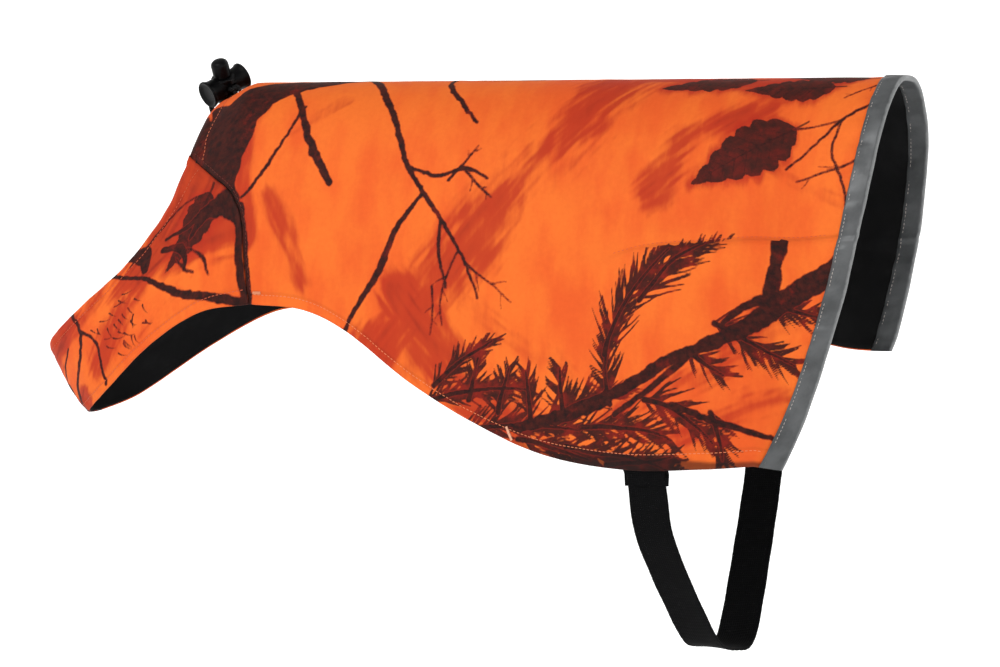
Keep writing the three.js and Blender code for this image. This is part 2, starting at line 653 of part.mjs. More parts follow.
addPiece(vest, 'belly_strap', bellyStrapPiece(), WEBBING);
addPiece(vest, 'near_strap_tab', tabPiece(STRAP_NEAR_X, -1), WEBBING);
addPiece(vest, 'far_strap_tab', tabPiece(STRAP_FAR_X, 1), WEBBING);

addPiece(vest, 'near_hem_bartack', shellTack(-17, -hemArc(-17, -1) + 8, 1.2), THREAD);
addPiece(vest, 'far_hem_bartack', shellTack(-17, hemArc(-17, 1) - 8, -1.2), THREAD);
addPiece(vest, 'near_shoulder_bartack', shellTack(LEG_X + 8, -LEG_ARC + 8, 0), THREAD);
addPiece(vest, 'far_shoulder_bartack', shellTack(LEG_X + 8, LEG_ARC - 8, 0), THREAD);

addPiece(vest, 'neck_drawcord', drawcordPiece(), BLACK_CLOTH);
addPiece(vest, 'cord_exit_eyelet', eyeletPiece(), BLACK_PLASTIC);

const lock = new THREE.Group();
lock.matrixAutoUpdate = false;
lock.matrix.copy(lockFrame);
vest.add(lock);
addPiece(lock, 'cord_lock_barrel', barrelPiece(), BLACK_PLASTIC);
addPiece(lock, 'cord_lock_plunger', plungerPiece(), BLACK_PLASTIC);
addPiece(lock, 'cord_lock_spring', springPiece(), STEEL);
addPiece(lock, 'drawcord_knot', knotPiece(), BLACK_CLOTH);

export default vest;
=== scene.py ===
"""Looks of a blaze orange field vest for a working dog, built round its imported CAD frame.

Lengths are millimetres until a mesh is made. X runs to the tail, Y is negative on the near side and Z is
up. A point of the cloth is named by X and by its arc from the spine, negative on the near side.
"""

import logging
import math
from dataclasses import dataclass, field
from enum import Enum
from typing import Callable, Sequence

import bpy
import numpy as np
from mathutils import Matrix, Vector


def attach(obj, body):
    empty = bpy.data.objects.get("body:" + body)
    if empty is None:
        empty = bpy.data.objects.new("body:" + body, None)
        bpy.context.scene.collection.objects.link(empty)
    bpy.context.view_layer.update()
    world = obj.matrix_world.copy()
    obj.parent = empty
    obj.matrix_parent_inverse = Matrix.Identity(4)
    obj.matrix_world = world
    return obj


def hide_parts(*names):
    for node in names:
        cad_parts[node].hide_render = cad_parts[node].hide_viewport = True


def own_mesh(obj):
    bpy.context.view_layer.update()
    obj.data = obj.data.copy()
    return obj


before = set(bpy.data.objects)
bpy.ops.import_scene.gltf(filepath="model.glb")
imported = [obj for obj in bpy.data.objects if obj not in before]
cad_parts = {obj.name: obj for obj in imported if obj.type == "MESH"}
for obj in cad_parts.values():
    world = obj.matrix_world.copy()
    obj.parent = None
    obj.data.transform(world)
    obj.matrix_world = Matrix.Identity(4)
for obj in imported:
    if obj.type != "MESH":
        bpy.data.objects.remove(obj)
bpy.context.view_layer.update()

MM = 0.001
SEED = 11
EXPOSURE = 0.57
LOG = logging.getLogger("vest")

Array = np.ndarray
Piece = bpy.types.Object
Material = bpy.types.Material
Socket = bpy.types.NodeSocket
Place = tuple[float, float]
Triple = tuple[float, float, float]


class Side(Enum):
    """Which flank a piece lies on; the value is the sign of Y and of the arc."""

    NEAR = -1
    FAR = 1


# -------- curves and noise


class Knots:
    """A smooth function through knots, level beyond its ends."""

    def __init__(self, knots: Sequence[tuple]) -> None:
        """Stores the knots and their slopes.

        Args:
            knots: Pairs of place and value; a value is a number or a point.
        """
        self.at = np.array([k[0] for k in knots], float)
        self.to = np.array([k[1] for k in knots], float).reshape(len(knots), -1)
        before = np.maximum(np.arange(len(knots)) - 1, 0)
        after = np.minimum(np.arange(len(knots)) + 1, len(knots) - 1)
        self.slope = (self.to[after] - self.to[before]) / (self.at[after] - self.at[before])[:, None]

    def __call__(self, x: Array) -> Array:
        """Returns the value at x: numbers, or points on a last axis."""
        place = np.clip(np.asarray(x, float), self.at[0], self.at[-1])
        i = np.clip(np.searchsorted(self.at, place, "right") - 1, 0, len(self.at) - 2)
        span = (self.at[i + 1] - self.at[i])[..., None]
        t = (place - self.at[i])[..., None] / span
        rise = self.to[i + 1] - self.to[i]
        a = self.slope[i] * span - rise
        b = rise - self.slope[i + 1] * span
        value = self.to[i] + t * rise + t * (1 - t) * (a * (1 - t) + b * t)
        return value[..., 0] if self.to.shape[1] == 1 else value


def run_along(points: Array) -> Array:
    """Returns how far along a line of points each of them is."""
    return np.concatenate([[0], np.cumsum(np.linalg.norm(np.diff(points, axis=0), axis=1))])


def unit(vectors: Array) -> Array:
    """Returns vectors, which lie on the last axis, at a length of 1."""
    return vectors / np.linalg.norm(vectors, axis=-1, keepdims=True)


def chord_knots(points: Sequence[Sequence[float]]) -> Knots:
    """Returns a curve through points, run from 0 to 1 by their spacing."""
    place = np.array(points, float)
    along = run_along(place)
    return Knots(list(zip(along / along[-1], place)))


def soft_noise(x: Array, y: Array, size: float, seed: int) -> Array:
    """Returns smooth noise from -1 to 1 over a plane.

    Args:
        x: First coordinate.
        y: Second coordinate.
        size: Spacing of the noise's own grid.
        seed: Which noise it is.
    """
    table = np.random.default_rng(seed).uniform(-1, 1, (64, 64))
    u, v = np.asarray(x) / size, np.asarray(y) / size
    i, j = np.floor(u).astype(int), np.floor(v).astype(int)
    a, b = u - i, v - j
    a, b = a * a * (3 - 2 * a), b * b * (3 - 2 * b)
    near = table[i % 64, j % 64] * (1 - b) + table[i % 64, (j + 1) % 64] * b
    far = table[(i + 1) % 64, j % 64] * (1 - b) + table[(i + 1) % 64, (j + 1) % 64] * b
    return near * (1 - a) + far * a


def bump(distance: Array, reach: float) -> Array:
    """Returns a bell of height 1 that fades within reach."""
    return np.exp(-((np.asarray(distance) / reach) ** 2))


# -------- the vest's form


# Places and sizes on the body, in millimetres: X, arcs from the spine and heights over the body.
FLAT = 6.0
NECK_ARC = 53.0
LEG_ARC = 200.0
LEG_X = -236.0
REAR_X = 262.0
CORNER_X = 170.0
REAR_SWEEP = 6.8e-4
REAR_ARC = {Side.NEAR: 326.0, Side.FAR: 236.0}
TAPE_WIDTH = 15.0
BACK_LENGTH = 546.0
NEAR_DEPTH = 320.0
FAR_DEPTH = 240.0
LINING_SKIN = 0.9
SHELL_SKIN = 2.2
THREAD_SKIN = SHELL_SKIN + 0.1
HEM_ROW = 7.6
TUNNEL_ROW = 13.5
CORD_LINE = 5.6
NEAR_PULL = (87.0, 327.0)
FAR_PULL = (118.0, 239.0)
DART_TIP = 46.0


class TrunkForm:
    """The body that the back panel lies on, as a surface over X and arc."""

    half_width = Knots([
        (-300, 51), (-284, 57), (-262, 67), (-236, 75), (-190, 80), (-134, 88), (-84, 95),
        (-17, 101), (60, 104), (120, 102), (160, 93), (194, 80), (215, 77), (262, 77),
    ])
    hem_depth = {
        Side.NEAR: Knots([
            (-236, 165), (-190, 170), (-150, 188), (-100, 224), (-50, 253), (10, 279), (72, 290),
            (135, 290), (170, 288),
        ]),
        Side.FAR: Knots([
            (-236, 165), (-190, 171), (-150, 178), (-100, 186), (-50, 194), (10, 200), (72, 203),
            (135, 202), (170, 201),
        ]),
    }
    neck_x = Knots([(0, -284), (18, -286), (33, -288.5), (NECK_ARC, -295)])
    seam_x = Knots([
        (NECK_ARC, -295), (72, -283), (93, -269), (114, -253.5), (134, -244), (160, -241.5),
        (182, -239), (LEG_ARC, LEG_X),
    ])

    def __init__(self) -> None:
        """Tabulates half an arch of unit size by its arc."""
        step = 0.01
        lean = math.pi / 2 * (1 - np.exp(-(np.arange(900) + 0.5) * step))
        self.arcs = np.arange(901) * step
        self.across = np.concatenate([[0], np.cumsum(np.cos(lean)) * step])
        self.down = np.concatenate([[0], np.cumsum(np.sin(lean)) * step])

    def scale(self, x: Array) -> Array:
        """Returns the arch's size at X."""
        return (self.half_width(x) - FLAT) / self.across[-1]

    def point(self, x: Array, s: Array) -> Array:
        """Returns the body's points at X and arc s."""
        x, s = np.broadcast_arrays(np.asarray(x, float), np.asarray(s, float))
        scale = self.scale(x)
        arc = np.maximum(np.abs(s) - FLAT, 0) / scale
        y = np.minimum(np.abs(s), FLAT) + scale * np.interp(arc, self.arcs, self.across)
        dip = -16 * (np.maximum(0, -252 - x) / 30) ** 1.3
        z = dip - scale * np.interp(arc, self.arcs, self.down)
        return np.stack([x, np.sign(s) * y, z], -1)

    def arc_at(self, x: Array, depth: Array) -> Array:
        """Returns the arc at which the body is as deep as given."""
        scale = self.scale(x)
        return FLAT + scale * np.interp(np.asarray(depth) / scale, self.down, self.arcs)

    def hem_arc(self, x: Array, side: Side) -> Array:
        """Returns the lower hem's arc at X on one side."""
        place = np.clip(np.asarray(x, float), LEG_X, CORNER_X)
        depth = self.hem_depth[side]
        share = (place - LEG_X) / (CORNER_X - LEG_X)
        front = LEG_ARC - self.arc_at(LEG_X, depth(LEG_X))
        rear = REAR_ARC[side] - self.arc_at(CORNER_X, depth(CORNER_X))
        return self.arc_at(place, depth(place)) + front * (1 - share) + rear * share

    def hem_beside(self, x: Array, s: Array) -> Array:
        """Returns the lower hem's arc at X, on the side on which arc s lies."""
        return np.where(np.asarray(s) < 0, self.hem_arc(x, Side.NEAR), self.hem_arc(x, Side.FAR))

    def front_x(self, s: Array) -> Array:
        """Returns X of the panel's front boundary: the neck edge, then the shoulder seam."""
        arc = np.abs(s)
        return np.where(arc <= NECK_ARC, self.neck_x(arc), self.seam_x(arc))

    def rear_x(self, s: Array) -> Array:
        """Returns X of the rear hem."""
        return REAR_X - REAR_SWEEP * np.asarray(s) ** 2

    def ahead_of_rear(self, s: Array, d: Array) -> Array:
        """Returns X of a line that runs d in from the rear hem, measured square to it."""
        return self.rear_x(s) - d * np.hypot(1, 2 * REAR_SWEEP * s)


def front_fade(d: Array, reach: float) -> Array:
    """Returns 1 at d of 0, falling smoothly to 0 at reach."""
    t = np.clip(1 - np.asarray(d) / reach, 0, 1)
    return t * t * (3 - 2 * t)


@dataclass
class ClothForm:
    """The trunk as the cloth lies on it: soft folds, puckered seams and the sewn darts.

    Attributes:
        trunk: The smooth body underneath.
        darts: Line of each flank dart, as X and arc from the spine, from the tape forward.
    """

    trunk: TrunkForm = field(default_factory=TrunkForm)
    darts: Knots = field(default_factory=lambda: Knots([
        (50.0, 181.0), (84.0, 171.5), (130.0, 166.0), (176.0, 158.5), (240.0, 151.0),
    ]))

    def dart_fade(self, x: Array) -> Array:
        """Returns the dart's depth along X, full at the tape and none at its front end."""
        return np.clip((np.asarray(x) - DART_TIP) / 60, 0, 1)

    def swell(self, x: Array, s: Array) -> Array:
        """Returns how far the cloth stands off the smooth body.

        Args:
            x: X of each point.
            s: Arc of each point, negative on the near side.
        """
        x, s = np.broadcast_arrays(np.asarray(x, float), np.asarray(s, float))
        arc = np.abs(s)
        near = s < 0
        to_hem = self.trunk.hem_beside(x, s) - arc
        to_tape = self.trunk.rear_x(s) - TAPE_WIDTH - x
        to_front = x - self.trunk.front_x(s)
        flank = np.clip((arc - 40) / 80, 0, 1)

        rise = 2.1 * flank * soft_noise(x * 0.8 + 0.3 * s, s * 0.5, 58, 3)
        rise += 0.85 * flank * soft_noise(x + 0.55 * s, s * 0.4, 24, 4)
        rise += 0.16 * soft_noise(x, s, 9, 5)

        pull_x = np.where(near, NEAR_PULL[0], FAR_PULL[0])
        pull_arc = np.where(near, NEAR_PULL[1], FAR_PULL[1])
        turn = np.arctan2(arc - pull_arc, x - pull_x)
        away = np.hypot(arc - pull_arc, x - pull_x)
        rise += 1.1 * np.cos(7 * turn + 0.6) * front_fade(away, 110) * np.clip(away / 30, 0, 1)

        to_dart = arc - self.darts(x)
        depth = self.dart_fade(x)
        rise += depth * (1.0 * bump(to_dart - 7, 9) - 1.3 * bump(to_dart, 1.9) + 0.5 * bump(to_dart + 8, 10))
        past_dart = np.hypot(x - 40, arc - 184)
        rise += 0.9 * bump(past_dart, 26) * np.cos((arc - 184) / 7)

        ripple = np.sin(x / 3.3 + 2.2 * soft_noise(x, s * 0, 31, 6))
        rise += 0.34 * ripple * bump(to_hem - 7, 8)
        across = np.sin(arc / 3.1 + 2.4 * soft_noise(arc, x * 0, 27, 7))
        rise += 0.5 * across * bump(to_tape - 3, 9) * np.clip(arc / 60, 0, 1)
        rise += 0.42 * across * bump(to_front - 9, 9) * np.clip(arc / 30, 0, 1)
        rise -= 1.2 * bump(to_front, 1.8) * (arc > NECK_ARC)
        rise += 1.1 * bump(to_front - 5.5, 4.2) * (arc <= NECK_ARC + 6)
        rise -= 0.35 * bump(to_hem - HEM_ROW, 1.0)
        curl = np.clip(1 - to_hem / 13, 0, 1.2) ** 2
        rise -= np.where(near, 6.5, 2.5) * curl * np.clip((x + 20) / 70, 0.12, 1)
        return rise

    def on(self, x: Array, s: Array, offset: Array, smooth: bool = False) -> Array:
        """Returns points at an offset over the cloth's seat.

        Args:
            x: X of each point.
            s: Arc of each point.
            offset: Height along the normal.
            smooth: Whether to leave out the cloth's folds.
        """
        x, s = np.broadcast_arrays(np.asarray(x, float), np.asarray(s, float))
        point = self.trunk.point
        along_x = point(x + 0.5, s) - point(x - 0.5, s)
        along_s = point(x, s + 0.5) - point(x, s - 0.5)
        normal = unit(np.cross(along_x, along_s))
        lift = np.asarray(offset, float) + (0 if smooth else self.swell(x, s))
        return point(x, s) + normal * np.broadcast_to(lift, x.shape)[..., None]


@dataclass
class ChestForm:
    """The chest panel's surface, over t from the near seam to the far one and w from neck to leg edge.

    Attributes:
        cloth: The back's form, which it meets at the shoulder seams.
        bulge: How far it bows out between its edges.
        decay: How fast the seams' shape dies away from them.
        breadth: Its length from seam to seam.
        height: Its length from neck to leg edge.
    """

    cloth: ClothForm
    bulge: float = 5.0
    decay: float = 4.0
    breadth: float = 430.0
    height: float = 96.0

    def __post_init__(self) -> None:
        """Runs the two edges across the chest."""
        neck = [(-310, -52, -95), (-337, -56, -133), (-384, -42, -168), (-415, -19, -189), (-424, 0, -196)]
        leg = [(-274, -74, -172), (-318, -64, -196), (-368, -37, -234), (-387, -15, -245), (-392, 0, -247)]
        trunk = self.cloth.trunk
        self.neck = self.mirrored(trunk.point(trunk.front_x(NECK_ARC), -NECK_ARC), neck)
        self.leg = self.mirrored(trunk.point(LEG_X, -LEG_ARC), leg)

    @staticmethod
    def mirrored(start: Array, half: list) -> Knots:
        """Returns a curve from one shoulder over the breast to the other."""
        near = [tuple(start), *half]
        far = [(x, -y, z) for x, y, z in near[:-1]][::-1]
        return chord_knots(near + far)

    def base(self, t: Array, w: Array) -> Array:
        """Returns the smooth surface's points."""
        inside = np.clip(w, 0, 1)
        tc = np.clip(t, 0, 1)
        flat = self.neck(tc) * (1 - w)[..., None] + self.leg(tc) * w[..., None]
        trunk = self.cloth.trunk
        for side, nearness, end in ((-1, 1 - tc, 0.0), (1, tc, 1.0)):
            arc = NECK_ARC + (LEG_ARC - NECK_ARC) * inside
            seam = trunk.point(trunk.seam_x(arc), side * arc)
            ends = np.full_like(inside, end)
            chord = self.neck(ends) * (1 - inside)[..., None] + self.leg(ends) * inside[..., None]
            flat = flat + (seam - chord) * (nearness ** self.decay)[..., None]
        return flat

    def swell(self, t: Array, w: Array) -> Array:
        """Returns how far the cloth stands off the smooth surface."""
        along, across = t * self.breadth, w * self.height
        to_seam = np.minimum(along, self.breadth - along)
        to_edge = np.minimum(across, self.height - across)
        rise = self.bulge * 4 * w * (1 - w) * np.sin(math.pi * np.clip(t, 0, 1))
        rise = rise + 0.9 * soft_noise(along, across, 48, 21) * np.clip(to_seam / 30, 0, 1)
        rise += 0.45 * soft_noise(along + across, across, 17, 22)
        rise += 0.3 * np.sin(along / 3.4 + 2 * soft_noise(along, w * 0, 29, 23)) * bump(to_edge - 7, 8)
        rise += 0.9 * bump(across - 6, 5)
        rise -= 1.2 * bump(to_seam, 1.8)
        rise -= 0.3 * bump(self.height - across - HEM_ROW, 1.0)
        rise += 0.9 * np.sin(across / 9) * bump(to_seam - 10, 12)
        return rise

    def on(self, t: Array, w: Array, offset: Array, smooth: bool = False) -> Array:
        """Returns points at an offset over the chest's surface."""
        t, w = np.broadcast_arrays(np.asarray(t, float), np.asarray(w, float))
        e = 2e-3
        low, high = np.clip(t - e, 0, 1), np.clip(t + e, 0, 1)
        along_t = self.base(high, w) - self.base(low, w)
        along_w = self.base(t, np.minimum(w + e, 1)) - self.base(t, np.maximum(w - e, 0))
        normal = unit(np.cross(along_t, along_w))
        swell = self.bulge * 4 * w * (1 - w) * np.sin(math.pi * t) if smooth else self.swell(t, w)
        join = bump(np.minimum(t, 1 - t) * self.breadth, 9)
        arc = np.where(t < 0.5, -1, 1) * (NECK_ARC + (LEG_ARC - NECK_ARC) * np.clip(w, 0, 1))
        seam = self.cloth.trunk.front_x(arc)
        seated = self.cloth.on(seam, arc, 1.0, True) - self.cloth.trunk.point(seam, arc)
        normal = unit(normal * (1 - join)[..., None] + seated * join[..., None])
        if not smooth:
            swell = swell * (1 - join) + self.cloth.swell(seam + 0.4, arc) * join
        lift = np.broadcast_to(np.asarray(offset, float), t.shape) + swell
        return self.base(t, w) + normal * lift[..., None]


# -------- meshes


def mesh_object(name: str, vertices: Array, faces: Array, material: Material) -> Piece:
    """Makes a smooth-shaded mesh object.

    Args:
        name: Object name.
        vertices: Points in millimetres.
        faces: Quads as rows of four indices.
        material: Its finish.
    """
    mesh = bpy.data.meshes.new(name)
    count = len(faces)
    mesh.vertices.add(len(vertices))
    mesh.vertices.foreach_set("co", (np.asarray(vertices) * MM).astype(np.float32).ravel())
    mesh.loops.add(4 * count)
    mesh.loops.foreach_set("vertex_index", np.asarray(faces, np.int32).ravel())
    mesh.polygons.add(count)
    mesh.polygons.foreach_set("loop_start", np.arange(0, 4 * count, 4, dtype=np.int32))
    mesh.polygons.foreach_set("use_smooth", np.ones(count, bool))
    mesh.update(calc_edges=True)
    mesh.validate()
    mesh.materials.append(material)
    made = bpy.data.objects.new(name, mesh)
    bpy.context.scene.collection.objects.link(made)
    return made


def grid_faces(rows: int, columns: int, ring: bool = False) -> Array:
    """Returns quads over a grid of points; ring joins the last column to the first."""
    i = np.arange(rows - 1)[:, None]
    j = np.arange(columns if ring else columns - 1)[None, :]
    k = (j + 1) % columns
    corners = [i * columns + j, (i + 1) * columns + j, (i + 1) * columns + k, i * columns + k]
    return np.stack(np.broadcast_arrays(*corners), -1).reshape(-1, 4)


def give_values(made: Piece, values: dict[str, Array]) -> None:
    """Stores a number for each vertex under each name."""
    for name, value in values.items():
        layer = made.data.attributes.new(name, "FLOAT", "POINT")
        layer.data.foreach_set("value", np.asarray(value, np.float32).ravel())


def give_plane(made: Piece, x: Array, y: Array) -> None:
    """Stores each vertex's place in its cloth's own plane, in metres."""
    layer = made.data.attributes.new("plane", "FLOAT_VECTOR", "POINT")
    place = np.stack([x.ravel(), y.ravel(), np.zeros(x.size)], -1) * MM
    layer.data.foreach_set("vector", place.astype(np.float32).ravel())


def cloth_piece(
    name: str, points: Array, plane: tuple[Array, Array], material: Material,
) -> Piece:
    """Makes a piece of cloth from a grid of points and their places in the cloth's plane."""
    rows, columns = points.shape[:2]
    made = mesh_object(name, points.reshape(-1, 3), grid_faces(rows, columns), material)
    give_plane(made, *plane)
    return made


def tube_piece(
    name: str, route: Array, radius: Array, material: Material, sides: int = 12,
    squeeze: float = 1.0,
) -> Piece:
    """Makes a closed round tube along a route.

    Args:
        name: Object name.
        route: Points of its centreline.
        radius: Its radius at each point.
        material: Its finish.
        sides: Sides of its section.
        squeeze: Height of the section as a share of its width.
    """
    along = unit(np.gradient(route, axis=0))
    side = np.array([0.3, 0.5, 0.81])
    first, second = [], []
    for t in along:
        side = unit(side - t * (side @ t))
        first.append(side)
        second.append(np.cross(t, side))
    turn = 2 * math.pi * np.arange(sides) / sides
    radius = np.broadcast_to(radius, len(route))[:, None, None]
    ring = np.cos(turn)[None, :, None] * np.array(first)[:, None]
    ring = ring + squeeze * np.sin(turn)[None, :, None] * np.array(second)[:, None]
    points = route[:, None] + radius * ring
    caps = [np.repeat(route[:1, None], sides, 1), np.repeat(route[-1:, None], sides, 1)]
    points = np.concatenate([caps[0], points, caps[1]])
    made = mesh_object(name, points.reshape(-1, 3), grid_faces(len(points), sides, True), material)
    length = run_along(route)
    length = np.concatenate([length[:1], length, length[-1:]])
    rows = np.broadcast_to(length[:, None], points.shape[:2])
    give_plane(made, rows, np.broadcast_to(turn[None, :] * 3, points.shape[:2]))
    return weld(made)


def weld(made: Piece, distance: float = 1e-6) -> Piece:
    """Merges a mesh's coincident vertices."""
    tidy = made.modifiers.new("weld", "WELD")
    tidy.merge_threshold = distance
    return apply_modifiers(made)


def apply_modifiers(made: Piece) -> Piece:
    """Puts an object's modifiers into its mesh."""
    bpy.context.view_layer.update()
    shape = made.evaluated_get(bpy.context.evaluated_depsgraph_get())
    mesh = bpy.data.meshes.new_from_object(shape)
    made.modifiers.clear()
    made.data = mesh
    return made


def thicken(made: Piece, thickness: float = 0.6) -> Piece:
    """Gives a sheet its thickness, in millimetres, half to each side."""
    skin = made.modifiers.new("thickness", "SOLIDIFY")
    skin.thickness, skin.offset = thickness * MM, 0
    return apply_modifiers(made)


def revolve(profile: Sequence[Place], segments: int) -> Array:
    """Returns the points of a profile of radius and height, turned about Z in rows."""
    turn = 2 * math.pi * np.arange(segments) / segments
    outline = np.array(profile, float)
    flat = outline[:, None, :1] * np.stack([np.cos(turn), np.sin(turn)], -1)[None]
    return np.concatenate([flat, np.broadcast_to(outline[:, None, 1:], flat.shape[:2] + (1,))], -1)


def lathe(name: str, profile: Sequence[Place], segments: int) -> Piece:
    """Turns a plastic piece from a profile that runs from the axis to the axis."""
    points = revolve(profile, segments)
    faces = grid_faces(len(points), segments, True)[:, ::-1]
    made = mesh_object(name, points.reshape(-1, 3), faces, Plastic().material())
    return weld(made)


def combine(base: Piece, other: Piece, operation: str) -> None:
    """Joins other to base, or cuts it out, and removes it."""
    cut = base.modifiers.new("boolean", "BOOLEAN")
    cut.operation, cut.object, cut.solver = operation, other, "EXACT"
    apply_modifiers(base)
    bpy.data.objects.remove(other)


def stitches(
    name: str, centres: Array, along: Array, out: Array, material: Material,
    size: Triple = (2.1, 0.3, 0.24),
) -> Piece:
    """Makes a row of thread stitches as one mesh.

    Args:
        name: Object name.
        centres: Middle of each stitch.
        along: Direction of each stitch.
        out: Outward direction at each stitch.
        material: The thread.
        size: Length, half width and height of a stitch.
    """
    along = unit(along)
    out = unit(out - along * (out * along).sum(1, keepdims=True))
    across = np.cross(out, along)
    length, half, height = size
    stations = np.array([
        (-0.5, 0.35, -0.5), (-0.34, 0.95, 0.65), (0, 1.0, 1.0), (0.34, 0.95, 0.65), (0.5, 0.35, -0.5),
    ])
    section = np.array([(-1.0, 0.0), (-0.6, 0.8), (0.6, 0.8), (1.0, 0.0), (0.0, -0.6)])
    points = np.zeros((len(centres), len(stations), len(section), 3))
    for i, (place, wide, high) in enumerate(stations):
        for j, (a, b) in enumerate(section):
            points[:, i, j] = (
                centres + along * place * length + across * a * half * wide
                + out * (b * height * max(wide, 0.5) + 0.25 * height * high)
            )
    each = grid_faces(len(stations), len(section), True)
    block = len(stations) * len(section)
    faces = (each[None] + block * np.arange(len(centres))[:, None, None]).reshape(-1, 4)
    return mesh_object(name, points.reshape(-1, 3), faces, material)


def stitch_line(
    name: str, route: Callable[[Array, float], Array], material: Material, pitch: float = 3.2,
    size: Triple = (2.1, 0.3, 0.24),
) -> Piece:
    """Sews a row of stitches along a route.

    Args:
        name: Object name.
        route: Gives points for shares from 0 to 1 of the row, raised by a height.
        material: The thread.
        pitch: Distance from one stitch to the next.
        size: Length, half width and height of a stitch.
    """
    share = np.linspace(0, 1, 800)
    low = route(share, 0.0)
    run = run_along(low)
    at = np.interp(np.arange(pitch / 2, run[-1] - pitch / 3, pitch), run, share)
    step = 0.3 * pitch / run[-1]
    before, after = route(np.clip(at - step, 0, 1), 0.0), route(np.clip(at + step, 0, 1), 0.0)
    centres = route(at, 0.0)
    return stitches(name, centres, after - before, route(at, 0.5) - centres, material, size)


def gather(name: str, parts: Sequence[Piece]) -> Piece:
    """Joins objects into one under a new name."""
    with bpy.context.temp_override(
        active_object=parts[0], selected_objects=list(parts), selected_editable_objects=list(parts),
    ):
        bpy.ops.object.join()
    parts[0].name = name
    parts[0].data.name = name
    return parts[0]


# -------- finishes


class Nodes:
    """A short way to write a material's node tree."""

    def __init__(self, name: str) -> None:
        """Starts a material with only its principled shader and output."""
        self.material = bpy.data.materials.new(name)
        self.material.use_nodes = True
        self.tree = self.material.node_tree
        self.shader = self.tree.nodes["Principled BSDF"]

    def put(self, target: Socket, value: object) -> None:
        """Links a socket's value, or sets it."""
        if isinstance(value, Socket):
            self.tree.links.new(value, target)
        else:
            target.default_value = value

    def shade(self, **values: object) -> None:
        """Sets inputs of the principled shader; an underscore stands for a space."""
        for name, value in values.items():
            self.put(self.shader.inputs[name.replace("_", " ")], value)

    def named(self, attribute: str, vector: bool = False) -> Socket:
        """Returns a vertex attribute."""
        node = self.tree.nodes.new("ShaderNodeAttribute")
        node.attribute_name = attribute
        return node.outputs["Vector" if vector else "Fac"]

    def math(self, kind: str, a: object, b: object = 0.0) -> Socket:
        """Returns one sum."""
        node = self.tree.nodes.new("ShaderNodeMath")
        node.operation = kind
        self.put(node.inputs[0], a)
        self.put(node.inputs[1], b)
        return node.outputs[0]

    def plus(self, a: object, b: object, share: float = 1.0) -> Socket:
        """Returns a plus a share of b."""
        return self.math("ADD", a, b if share == 1.0 else self.math("MULTIPLY", b, share))

    def swing(self, noise: object, reach: float) -> Socket:
        """Returns noise moved to lie about zero, over a reach."""
        return self.math("MULTIPLY", self.math("SUBTRACT", noise, 0.5), reach)

    def noise(self, place: object, scale: float, detail: float = 3.0, rough: float = 0.5) -> Socket:
        """Returns noise from 0 to 1 over a place in metres."""
        node = self.tree.nodes.new("ShaderNodeTexNoise")
        self.put(node.inputs["Vector"], place)
        node.inputs["Scale"].default_value = scale
        node.inputs["Detail"].default_value = detail
        node.inputs["Roughness"].default_value = rough
        return node.outputs["Fac"]

    def stretch(self, place: object, by: Triple) -> Socket:
        """Returns a place scaled along each axis."""
        node = self.tree.nodes.new("ShaderNodeVectorMath")
        node.operation = "MULTIPLY"
        self.put(node.inputs[0], place)
        node.inputs[1].default_value = by
        return node.outputs[0]

    def ramp(
        self, value: object, low: float, high: float, start: float = 0.0, end: float = 1.0,
    ) -> Socket:
        """Returns start below low and end above high, smooth between."""
        node = self.tree.nodes.new("ShaderNodeMapRange")
        node.interpolation_type = "SMOOTHSTEP"
        self.put(node.inputs["Value"], value)
        for name, number in (("From Min", low), ("From Max", high), ("To Min", start), ("To Max", end)):
            node.inputs[name].default_value = number
        return node.outputs[0]

    def mix(self, share: object, a: object, b: object) -> Socket:
        """Returns colour a blended to colour b."""
        node = self.tree.nodes.new("ShaderNodeMix")
        node.data_type = "RGBA"
        self.put(node.inputs[0], share)
        self.put(node.inputs[6], a)
        self.put(node.inputs[7], b)
        return node.outputs[2]

    def wave(self, place: object, scale: float, direction: str = "X") -> Socket:
        """Returns bands across one axis."""
        node = self.tree.nodes.new("ShaderNodeTexWave")
        node.bands_direction = direction
        self.put(node.inputs["Vector"], place)
        node.inputs["Scale"].default_value = scale
        return node.outputs["Fac"]

    def bumped(self, height: object, strength: float, distance: float) -> None:
        """Bumps the shader's surface by a height."""
        node = self.tree.nodes.new("ShaderNodeBump")
        self.put(node.inputs["Height"], height)
        node.inputs["Strength"].default_value = strength
        node.inputs["Distance"].default_value = distance
        self.put(self.shader.inputs["Normal"], node.outputs[0])


def ink(red: float, green: float, blue: float) -> tuple:
    """Returns a linear colour, at the studio's exposure, from display values of 0 to 255."""
    linear = [((c / 255 + 0.055) / 1.055) ** 2.4 if c > 10 else c / 3295 for c in (red, green, blue)]
    return (*(EXPOSURE * c for c in linear), 1.0)


_made: dict[str, Material] = {}


@dataclass(frozen=True)
class Finish:
    """What a piece is finished in."""

    def build(self, nodes: Nodes) -> None:
        """Writes the finish into a node tree."""
        raise NotImplementedError

    def material(self) -> Material:
        """Returns this finish's material, made once."""
        name = repr(self).replace("Finish", "")
        if name not in _made:
            nodes = Nodes(type(self).__name__.lower())
            self.build(nodes)
            _made[name] = nodes.material
        return _made[name]


